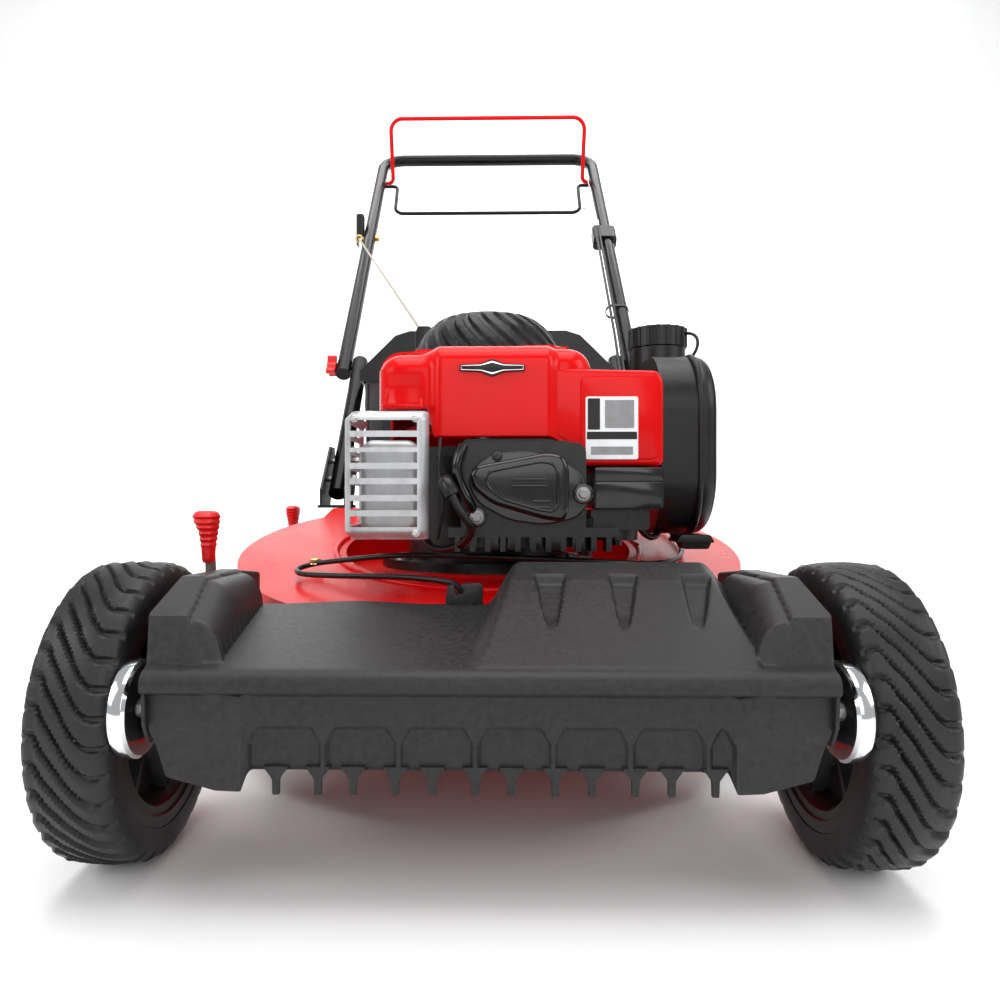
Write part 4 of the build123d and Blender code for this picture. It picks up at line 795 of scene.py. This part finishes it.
def shroud():
    base = plan(0, 294, 121, -97, 92, 131, 26, n=420)
    n = len(base)
    mid = Vector((0, 270))

    def bottom(x, u):
        z = 301.0
        if u < 240:
            if x < -46:
                z = lerp(301, 326, sstep(x, -46, -52))
            elif x > 52:
                z = lerp(301, 296, sstep(x, 52, 66))
        return z
    rings = []
    R = 20.0
    for t in (0.0, 0.02, 0.2, 0.35, 0.5, 0.65, 0.8, 0.92, 1.0):
        rings.append((0.0 if t > 0.01 else 1.6, ("low", t)))
    for i in range(1, 11):
        a = math.pi / 2 * i / 10
        rings.append((R * (1 - math.cos(a)), ("top", 362 + 19 * math.sin(a))))
    for inset, zz in ((30, 381.6), (34, 383.6), (60, 384.2)):
        rings.append((inset, ("top", zz)))
    v = []
    for inset, (kind, q) in rings:
        for i, (x, u) in enumerate(base):
            p = Vector((x, u))
            a, b = Vector(base[i - 3]), Vector(base[(i + 3) % n])
            t = (b - a).normalized()
            nrm = Vector((t.y, -t.x))
            if nrm.dot(p - mid) < 0:
                nrm = -nrm
            p = p - nrm * inset
            zb = bottom(x, u)
            z = lerp(zb, 362.0, q) if kind == "low" else q
            # centre panel stands proud of the lobes on each side
            if u < 160:
                proud = sstep(x, -50, -41) * (1 - sstep(x, 52, 62))
                p = p + Vector((0, -5.5)) * proud * clamp(1 - inset / 26.0)
                z += 3.0 * proud * (1 - clamp(inset / 60.0)) if kind == "top" else 0
                # shallow panel on the left lobe over the silencer
                if -90 < x < -56 and 331 < z < 352:
                    e = min(x + 90, -56 - x, (z - 331), (352 - z))
                    p = p + Vector((0, 3.0)) * sstep(e, 0, 3)
                # crown: the middle of the face bows forwards
                p = p + Vector((0, -3.0)) * (1 - ((x - 4) / 100.0) ** 2) * clamp(1 - inset / 40.0)
                # top edge falls away to the left lobe
                if kind == "top" and x < -45:
                    z -= 5.0 * sstep(-x, 45, 60)
            v.append(P(p.x, p.y, z))
    rows = len(rings)
    f = grid_faces(rows, n, wrap_v=True)
    o = link("shroud_shell", v, f, "redplastic", None)
    outward(o)
    modify(o, "SOLIDIFY", thickness=0.0028, offset=-1.0)
    o.data.materials.clear()
    o.data.materials.append(M["redplastic"])
    for p in o.data.polygons:
        p.use_smooth = True
    o.data.set_sharp_from_angle(angle=math.radians(36))
    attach(o, "chassis")
    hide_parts("blower_housing")
    side = rounded([(50, 301), (64, 299), (74, 290), (81, 278), (86, 276.5), (149, 276.5), (152, 280), (152, 351), (147, 359), (84, 360.5), (56, 362)], 5, 4)
    prism("shroud_side_section", side, 128.5, 300, "redplastic", "chassis", bevel=4.5, segs=4)
    # raised frame and the flat of the side section
    prism("shroud_side_panel", rect(113.5, 318, 67, 72, 7), 127.2, 132, "redplastic", "chassis", bevel=1.2, segs=2)
    prism("shroud_visor", rect(-72.5, 327.5, 36, 5.2, 2), 122.5, 132, "redplastic", "chassis", bevel=1.2, segs=2)
    prism("rating_label", rect(107, 309, 45, 54, 2), 126.8, 127.6, "label", "chassis", bevel=0.2, segs=1)
    prism("rating_label_field", rect(91.5, 321, 10.5, 27, 1), 126.5, 127.2, "black", "chassis", bevel=0.1, segs=1)
    prism("rating_label_band", rect(107, 302.5, 43, 6.5, 0.6), 126.5, 127.2, "black", "chassis", bevel=0.1, segs=1)
    prism("rating_label_square", rect(113.5, 321, 25, 24, 0.6), 126.5, 127.2, "grey", "chassis", bevel=0.1, segs=1)
    prism("rating_label_strip", rect(107, 289.5, 36, 7, 0.6), 126.5, 127.2, "grey", "chassis", bevel=0.1, segs=1)
    hexa = [(-24, 362.6), (-6, 363.4), (4, 367.6), (14, 363.4), (32, 362.6), (32, 357.4), (14, 356.6), (4, 352.4), (-6, 356.6), (-24, 357.4)]
    prism("badge_plate", rounded(hexa, 1.2, 3), 119.6, 124.0, "black", "chassis", bevel=0.5, segs=2)
    ring = [(4 + (x - 4) * 0.965, 360 + (z - 360) * 0.78) for x, z in hexa]
    prism("badge_rim", rounded(ring, 1, 3), 118.9, 123.0, "chrome", "chassis", bevel=0.4, segs=2)
    ring = [(4 + (x - 4) * 0.93, 360 + (z - 360) * 0.56) for x, z in hexa]
    prism("badge_field", rounded(ring, 1, 3), 118.4, 122.0, "black", "chassis", bevel=0.3, segs=2)


shroud()


# ------------------------------------------------------------ recoil starter cover with slanted louvres
def recoil():
    prof = [(84, 384.5), (84.5, 388), (83.2, 391), (80.5, 393), (79, 398), (76, 406), (72, 414), (67.5, 421.5), (62, 428), (55, 434), (47, 438.5),
            (38, 441.3), (28, 442.6), (26, 440.8), (12, 441.0), (0.6, 441.2)]
    # resample
    rad, zed = [], []
    for i in range(len(prof) - 1):
        for k in range(4):
            t = k / 4
            rad.append(lerp(prof[i][0], prof[i + 1][0], t))
            zed.append(lerp(prof[i][1], prof[i + 1][1], t))
    rad.append(prof[-1][0])
    zed.append(prof[-1][1])
    n = 640
    v = []
    for r, z in zip(rad, zed):
        band = sstep(z, 393.5, 399) * (1 - sstep(z, 437.5, 441)) * sstep(r, 32, 38)
        for i in range(n):
            th = 2 * math.pi * i / n
            ph = (th * 22 / (2 * math.pi) + (z - 393) * 0.045) % 1.0
            bar = sstep(ph, 0.0, 0.12) * (1 - sstep(ph, 0.55, 0.67))
            rr = r + band * (3.0 * bar - 2.4)
            zz = z + band * (2.2 * bar - 1.6)
            v.append(P(rr * math.cos(th), 294 + rr * math.sin(th), zz))
    f = grid_faces(len(rad), n, wrap_v=True)
    f.append(tuple((len(rad) - 1) * n + i for i in range(n)))
    f.append(tuple(range(n)))
    o = link("recoil_louvres", v, f, "black", "chassis", "recoil_cover", angle=30)
    outward(o)
    o.data.set_sharp_from_angle(angle=math.radians(30))
    # rope outlet
    pts = rounded([(-79, 391), (-57, 391), (-57, 430), (-63, 437), (-76, 437), (-79, 430)], 3, 4)
    prism("recoil_rope_outlet", pts, 303, 320.5, "black", "chassis", bevel=1.5, segs=3)
    t = [(-75 + 4.4 * math.cos(a), 320.6, 437 + 0 * a) for a in (0,)]
    ringpts = [(-75 + 4.2 * math.cos(a), 319.6, 430 + 4.2 * math.sin(a)) for a in [2 * math.pi * i / 16 for i in range(16)]]
    tube("recoil_rope_eyelet", ringpts, 1.3, "zinc", "chassis", closed=True, sub=4)


recoil()


# ------------------------------------------------------------ ignition lead, cap tether, small hardware
tube("ignition_boot", [(-34, 104, 262), (-34, 92, 262), (-34, 84, 261), (-31, 79, 257), (-28, 78, 251)], 6.4, "black", "chassis", "spark_plug", sub=6, segs=20)
tube("ignition_lead", [(-28.5, 78, 252), (-25, 77, 243), (-18, 78, 233), (-12, 82, 224), (-16, 92, 215), (-24, 108, 208), (-38, 122, 204), (-52, 140, 206),
                       (-66, 180, 230), (-72, 210, 290)], 3.3, "black", "chassis", sub=8)
tube("cap_tether", [(196, 262, 378), (205, 252, 388), (214, 250, 402), (213, 252, 415), (203, 262, 420), (190, 270, 418)], 1.7, "black", "chassis", sub=8)
tube("fuel_line", [(168, 210, 222), (160, 190, 214), (150, 176, 212), (141, 168, 218), (134, 160, 228)], 3.2, "black", "chassis", sub=8)
hexbolt("deck_bolt", -163, 190, 186.5, "+Z", 5.5, 5.0, "chassis", mat="brass")
for i, (x, u) in enumerate(((-118, 60), (118, 88))):
    pass


# polished dishes over the ends of the drive shaft
def dish(s):
    prof = [(205.5, 20), (206.0, 27.5), (207.6, 29.4), (211.5, 30.0), (215.6, 28.6), (218.2, 25.6), (219.0, 22.0), (218.4, 19.6), (216.2, 18.4), (214.8, 15.0), (214.4, 8.0), (214.4, 0.5)]
    n, v = 72, []
    for x, r in prof:
        for i in range(n):
            a = 2 * math.pi * i / n
            v.append(P(s * x, -80 + r * math.cos(a), 122 + r * math.sin(a)))
    f = grid_faces(len(prof), n, wrap_v=True) + [tuple(range(n)), tuple((len(prof) - 1) * n + i for i in range(n))]
    o = link("shaft_dish_%s" % ("left" if s > 0 else "right"), v, f, "chrome", "chassis", "shaft_covers", angle=30)
    outward(o)
    o.data.set_sharp_from_angle(angle=math.radians(30))


dish(1)
dish(-1)


# ------------------------------------------------------------ silencer guard: pressed sheet with rounded side and slots
def guard():
    """Rounded sheet wrapping the front and the left side, with seven slots across each."""
    x0, x1, z0, z1, u0, u1 = -119.0, -50.0, 214.5, 320.5, 95.0, 199.0
    R = 13.0
    path = [(x1, u0 + 16), (x1, u0 + 9)]
    path += [(x1 - 8 * (1 - math.cos(a)), u0 + 8 * (1 - math.sin(a))) for a in [math.radians(q) for q in range(0, 91, 15)]]
    path += [(x0 + R + (x1 - 8 - x0 - R) * (1 - i / 12), u0) for i in range(1, 13)]
    path += [(x0 + R - R * math.sin(a), u0 + R * (1 - math.cos(a))) for a in [math.radians(q) for q in range(9, 91, 9)]]
    path += [(x0, u0 + R + (u1 - u0 - R) * i / 26) for i in range(1, 27)]
    # lengths along the path
    L = [0.0]
    for a, b in zip(path, path[1:]):
        L.append(L[-1] + math.dist(a, b))
    zs = [z0 + (z1 - z0) * i / 84 for i in range(85)]
    n = len(zs)
    v = []
    for (x, u), s in zip(path, L):
        for z in zs:
            # rolled top and bottom edges
            e = min(z - z0, z1 - z)
            k = 4.5 * (1 - sstep(e, 0, 7))
            xx = x + (k if x < -100 else 0)
            uu = u + (k if u < u0 + 20 else 0)
            v.append(P(xx, uu, z))
    f = []
    for i in range(len(path) - 1):
        sm = (L[i] + L[i + 1]) / 2
        x, u = path[i]
        front = x > -113 and u < u0 + 6 and x < -56.5
        side = u > u0 + 18 and u < 178 and x < -115
        for j in range(n - 1):
            z = (zs[j] + zs[j + 1]) / 2
            cut = False
            for q in range(7):
                c = 229 + 13.2 * q
                if abs(z - c) < 4.2 and (front or side):
                    cut = True
            if not cut:
                f.append((i * n + j, (i + 1) * n + j, (i + 1) * n + j + 1, i * n + j + 1))
    o = link("guard_sheet", v, f, "silver", None)
    outward(o)
    modify(o, "SOLIDIFY", thickness=0.0014, offset=0.0)
    modify(o, "BEVEL", width=0.0004, segments=1, limit_method="ANGLE", angle_limit=math.radians(50))
    o.data.materials.clear()
    o.data.materials.append(M["silver"])
    for p in o.data.polygons:
        p.use_smooth = True
    o.data.set_sharp_from_angle(angle=math.radians(40))
    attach(o, "chassis")
    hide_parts("muffler_guard")
    for x, z in ((-110, 314.5), (-59, 314.5), (-59, 220)):
        hexbolt("guard_screw", x, 95.3, z, "-Y", 2.6, 2.2, "chassis")


guard()


# ------------------------------------------------------------ deck pressings
def deck_details():
    # rolled bead round the engine platform, seen as a raised ring on the pressing
    for r, z0 in ((160.0, 176.5), ):
        pts = []
        for i in range(96):
            a = 2 * math.pi * i / 96
            x, u = r * math.cos(a), 294 + r * math.sin(a)
            roof = 150 + (u - 36) * 0.18534
            pts.append((x, u, max(roof, 0) + 0.2))
        tube("deck_bead", [p for p in pts if p[1] < 420], 3.2, "red", "chassis", sub=3)


deck_details()


# ------------------------------------------------------------ grass bag cloth
def bag_cloth():
    from mathutils import noise as mn
    loop = rounded([(-196, 652), (196, 652), (196, 1089), (-196, 1089)], 34, 10)
    seg = [math.dist(loop[i], loop[(i + 1) % len(loop)]) for i in range(len(loop))]
    total = sum(seg)
    n = 460
    base, i, acc = [], 0, 0.0
    for k in range(n):
        d = total * k / n
        while acc + seg[i] < d:
            acc += seg[i]
            i += 1
        t = (d - acc) / seg[i]
        a, b = loop[i], loop[(i + 1) % len(loop)]
        base.append((lerp(a[0], b[0], t), lerp(a[1], b[1], t)))
    zs = [431 - 301 * j / 90 for j in range(91)]
    v = []
    for z in zs:
        h = (z - 130) / 300.0
        for k, (x, u) in enumerate(base):
            a, b = base[k - 2], base[(k + 2) % n]
            t = Vector((b[0] - a[0], b[1] - a[1])).normalized()
            nr = Vector((t.y, -t.x))
            if nr.dot(Vector((x, u - 870))) < 0:
                nr = -nr
            edge = sstep(h, 0.0, 0.10) * (1 - sstep(h, 0.93, 1.0))
            corner = clamp(min(196 - abs(x), 60) / 60) if abs(u - 652) < 6 or abs(u - 1089) < 6 else clamp(min(u - 652, 1089 - u, 60) / 60)
            w = mn.noise(Vector((x * 0.012, u * 0.012, z * 0.020))) * 3.2 + mn.noise(Vector((x * 0.035, u * 0.035, z * 0.018 + 5))) * 1.6
            gather = 1.6 * math.sin(k * 2 * math.pi * 46 / n + 1.3 * math.sin(z * 0.03)) * sstep(h, 0.62, 0.96) * (1 - sstep(h, 0.985, 1.0))
            fold = 2.2 * mn.noise(Vector((z * 0.055, (x + u) * 0.010, 3.0)))
            d = -3.0 + (w + fold) * edge * (0.35 + 0.65 * corner) + gather * corner - 3.0 * edge * corner * math.sin(math.pi * h)
            rnd = 12 * (1 - sstep(h, 0.0, 0.05))
            if u < 700 and abs(x) < 170 and z < 245:
                d = min(d, 0) * 0.3 - 1.0
            v.append(P(x + nr.x * (d - rnd), u + nr.y * (d - rnd), z))
    f = []
    for j in range(len(zs) - 1):
        z = (zs[j] + zs[j + 1]) / 2
        for k in range(n):
            x, u = base[k]
            if abs(u - 652) < 2 and abs(x) < 152 and 143 < z < 231:
                continue
            f.append((j * n + k, j * n + (k + 1) % n, (j + 1) * n + (k + 1) % n, (j + 1) * n + k))
    # sagging bottom, rings shrinking to the middle
    last = (len(zs) - 1) * n
    off = len(v)
    steps = 14
    for s in range(1, steps + 1):
        q = 1 - s / (steps + 0.0)
        for (x, u) in base:
            xx, uu = x * 0.93 * max(q, 0.01), 870 + (u - 870) * 0.94 * max(q, 0.01)
            sag = 2.5 * mn.noise(Vector((xx * 0.02, uu * 0.02, 9))) - 0.5
            v.append(P(xx, uu, 130.5 + abs(sag)))
    prev = last
    for s in range(steps):
        cur = off + s * n
        for k in range(n):
            f.append((prev + k, prev + (k + 1) % n, cur + (k + 1) % n, cur + k))
        prev = cur
    o = link("bag_cloth", v, f, "fabric", None)
    outward(o)
    modify(o, "SOLIDIFY", thickness=0.0012, offset=-1.0)
    o.data.materials.clear()
    o.data.materials.append(M["fabric"])
    for p in o.data.polygons:
        p.use_smooth = True
    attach(o, "grass_bag")
    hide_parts("bag_body")
    # bound seams
    for z, r, inset in ((427, 2.4, 2.5), (146, 2.2, 3.0)):
        pts = [(x * (196 - inset) / 196, 870 + (u - 870) * (218.5 - inset) / 218.5, z) for x, u in base[::8]]
        tube("bag_binding", pts, r, "black", "grass_bag", closed=True, sub=3)
    for x in (-1, 1):
        for u in (1, -1):
            cx, cu = x * (196 - 10.5), 870 + u * (218.5 - 10.5)
            pts = [(cx, cu, z) for z in (426, 370, 300, 230, 170, 148)]
            tube("bag_corner_seam", pts, 2.0, "black", "grass_bag", sub=4)
    # wire frame round the mouth, behind the neck
    pts = [(x, 655.5, z) for x, z in rounded([(-160, 137), (160, 137), (160, 237), (-160, 237)], 14, 6)]
    tube("bag_mouth_wire", pts, 2.2, "grey", "grass_bag", closed=True, sub=3)


bag_cloth()


# ------------------------------------------------------------ rocker cover: flange, domed lid, generic ribs
def valve_cover():
    flange = rounded([(-17, 262), (-10, 277), (6, 286), (34, 288), (66, 279), (80, 266), (83, 243), (74, 232), (48, 226), (18, 230), (-8, 244)], 9, 5)
    lid = rounded([(-15, 268), (-9.8, 275), (48.4, 286.0), (62.8, 283.0), (67.0, 272.2), (66.4, 236.4), (61.8, 229.0), (46, 231), (3.6, 243.5), (-12, 256.5)], 8, 5)
    parts = [("valve_cover_flange", flange, 99.2, 103.9, 1.3, 1.0), ("valve_cover_lid", lid, 89.4, 101, 4.2, 0.985)]
    first = prism(parts[0][0], parts[0][1], parts[0][2], parts[0][3], "enginegloss", "chassis", "valve_cover", bevel=1.3, segs=3)
    prism(parts[1][0], parts[1][1], parts[1][2], parts[1][3], "enginegloss", "chassis", bevel=4.2, segs=5)
    c = Vector((33, 259))
    ring = [tuple(c + (Vector(p) - c) * 0.72) for p in lid]
    tube("valve_cover_bead", [(x, 89.3, z) for x, z in ring[::2]], 1.2, "enginegloss", "chassis", closed=True, sub=3)
    for k, (x, z, w) in enumerate(((34, 264, 30), (34, 258.5, 30), (44, 246, 15), (44, 241, 15))):
        prism("valve_cover_rib_%d" % (k + 1), rect(x, z, w, 1.8, 0.8), 88.4, 90.5, "enginegloss", "chassis", bevel=0.5, segs=2)
    # bosses round the bolt holes
    for x, z in ((83, 252), (-9, 233)):
        prism("valve_cover_boss", circle(x if x < 0 else 79, z, 8.5, 32), 98, 104, "enginegloss", "chassis", bevel=1.2, segs=3)


valve_cover()

# moulded seam round the fuel tank and a bead on its end
loop = rounded([(152, 215), (348, 215), (348, 384), (152, 384)], 56, 10)
tube("tank_seam", [(190, u, z) for u, z in loop[::2]], 2.6, "black", "chassis", closed=True, sub=3)
tube("tank_rear_bead", [(203.5, u, z) for u, z in [(250 + (a - 250) * 0.86, 299.5 + (b - 299.5) * 0.84) for a, b in loop[::2]]], 2.4, "black", "chassis",
     closed=True, sub=3)
prism("tank_valve_plate", rounded([(168, 209), (202, 209), (198, 216), (172, 216)], 2, 3), 150, 186, "black", "chassis", bevel=1.0)
prism("tank_outlet_knob", rounded([(176, 203), (198, 203), (201, 210), (173, 210)], 2, 3), 156, 178, "black", "chassis", bevel=1.5)

# breather hose beside the cylinder
tube("breather_hose", [(-20, 96, 292), (-24, 92, 282), (-26, 92, 272), (-22, 94, 258), (-14, 96, 244), (-10, 104, 232)], 4.2, "enginegloss", "chassis", sub=8)
tube("governor_rod", [(-40, 120, 300), (-42, 110, 280), (-40, 104, 262), (-36, 102, 240), (-42, 110, 214)], 1.3, "blackmetal", "chassis", sub=6)
for k, x in enumerate((-14, 4, 22, 40, 58, 76)):
    prism("head_rib_%d" % (k + 1), rect(x, 212, 11, 13, 1.5), 104.5, 108.5, "blackmetal", "chassis", bevel=0.8, segs=2)
tube("dip_stick_pipe", [(84, 128, 200), (84, 126, 215), (85, 122, 232)], 5.5, "black", "chassis", sub=5)
# air cleaner lid line and face
prism("air_cleaner_lid", rect(120, 268.6, 58.6, 12.5, 2.5), 117.0, 122, "enginegloss", "chassis", bevel=0.9, segs=2)
prism("air_cleaner_face", rect(120, 251, 58.0, 23.5, 2.5), 117.4, 122, "enginegloss", "chassis", bevel=0.9, segs=2)


# engine bolts: three through the mounting flange, two on the rocker cover
def engine_bolts():
    parts = []
    for k in range(3):
        a = math.radians(90 + 120 * k)
        parts.append(hexbolt("flange_bolt", 98 * math.cos(a), 294 + 98 * math.sin(a), 187, "+Z", 6.6, 6.5, None, mat="grey"))
    parts.append(hexbolt("cover_bolt", 79, 98.0, 252, "-Y", 4.4, 4.2, None, mat="grey"))
    parts.append(hexbolt("cover_bolt", -9, 98.0, 233, "-Y", 4.4, 4.2, None, mat="grey"))
    parts.append(hexbolt("cover_bolt", 8, 99.2, 283, "-Y", 3.4, 3.0, None, mat="blackmetal"))
    bpy.ops.object.select_all(action="DESELECT")
    for p in parts:
        p.select_set(True)
    bpy.context.view_layer.objects.active = parts[0]
    bpy.ops.object.join()
    parts[0].name = "engine_bolt_set"
    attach(parts[0], "chassis")
    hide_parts("engine_bolts")


engine_bolts()


# ------------------------------------------------------------ floor and light
def floor():
    m, nt, sh = nodes_of("studio_floor")
    n = noise(nt, 3.0, 4.0, 0.6)
    c = ramp(nt, n.outputs["Fac"], [(0.3, (0.90, 0.90, 0.90)), (0.7, (0.95, 0.95, 0.95))])
    nt.links.new(c.outputs[0], sh.inputs["Base Color"])
    r = ramp(nt, n.outputs["Fac"], [(0.2, grey(0.8)), (0.8, grey(0.95))])
    nt.links.new(r.outputs[0], sh.inputs["Roughness"])
    sh.inputs["Specular IOR Level"].default_value = 0.1
    n = 14
    v, rows = [], []
    prof = [(-4.0, 0.0), (1.6, 0.0)]
    for i in range(1, n + 1):
        a = math.pi / 2 * i / n
        prof.append((1.6 + 1.4 * math.sin(a), 1.4 - 1.4 * math.cos(a)))
    prof.append((3.0, 5.0))
    for (y, z) in prof:
        for x in (-6.0, 6.0):
            v.append((x, y, z))
    me = bpy.data.meshes.new("floor_sweep")
    me.from_pydata(v, [], [(2 * i, 2 * i + 1, 2 * i + 3, 2 * i + 2) for i in range(len(prof) - 1)])
    me.update()
    for p in me.polygons:
        p.use_smooth = True
    o = bpy.data.objects.new("floor_sweep", me)
    me.materials.append(m)
    scene.collection.objects.link(o)


floor()


def area(name, loc, target, size, power, size_y=None):
    li = bpy.data.lights.new(name, "AREA")
    li.shape = "RECTANGLE"
    li.size = size
    li.size_y = size_y or size
    li.energy = power
    o = bpy.data.objects.new(name, li)
    scene.collection.objects.link(o)
    o.location = loc
    o.rotation_euler = (Vector(target) - Vector(loc)).to_track_quat("-Z", "Y").to_euler()
    return o


area("light_top", (0.0, -0.5, 3.0), (0, -0.2, 0.2), 2.6, 75)
area("light_left", (-2.4, -1.6, 1.5), (0, -0.3, 0.3), 1.6, 34)
area("light_right", (2.4, -1.4, 1.7), (0, -0.3, 0.3), 1.6, 34)
area("light_front", (0.2, -3.0, 1.3), (0, -0.3, 0.3), 1.6, 22)

area("light_back", (0.0, 1.2, 2.6), (0, 2.9, 1.2), 3.0, 90, 1.5)

scene.view_settings.view_transform = "Standard"
scene.view_settings.exposure = -0.15
world = bpy.data.worlds.new("studio")
scene.world = world
world.use_nodes = True
wn = world.node_tree
bg = wn.nodes["Background"]
bg.inputs["Color"].default_value = (0.93, 0.94, 0.95, 1)
bg.inputs["Strength"].default_value = 0.55
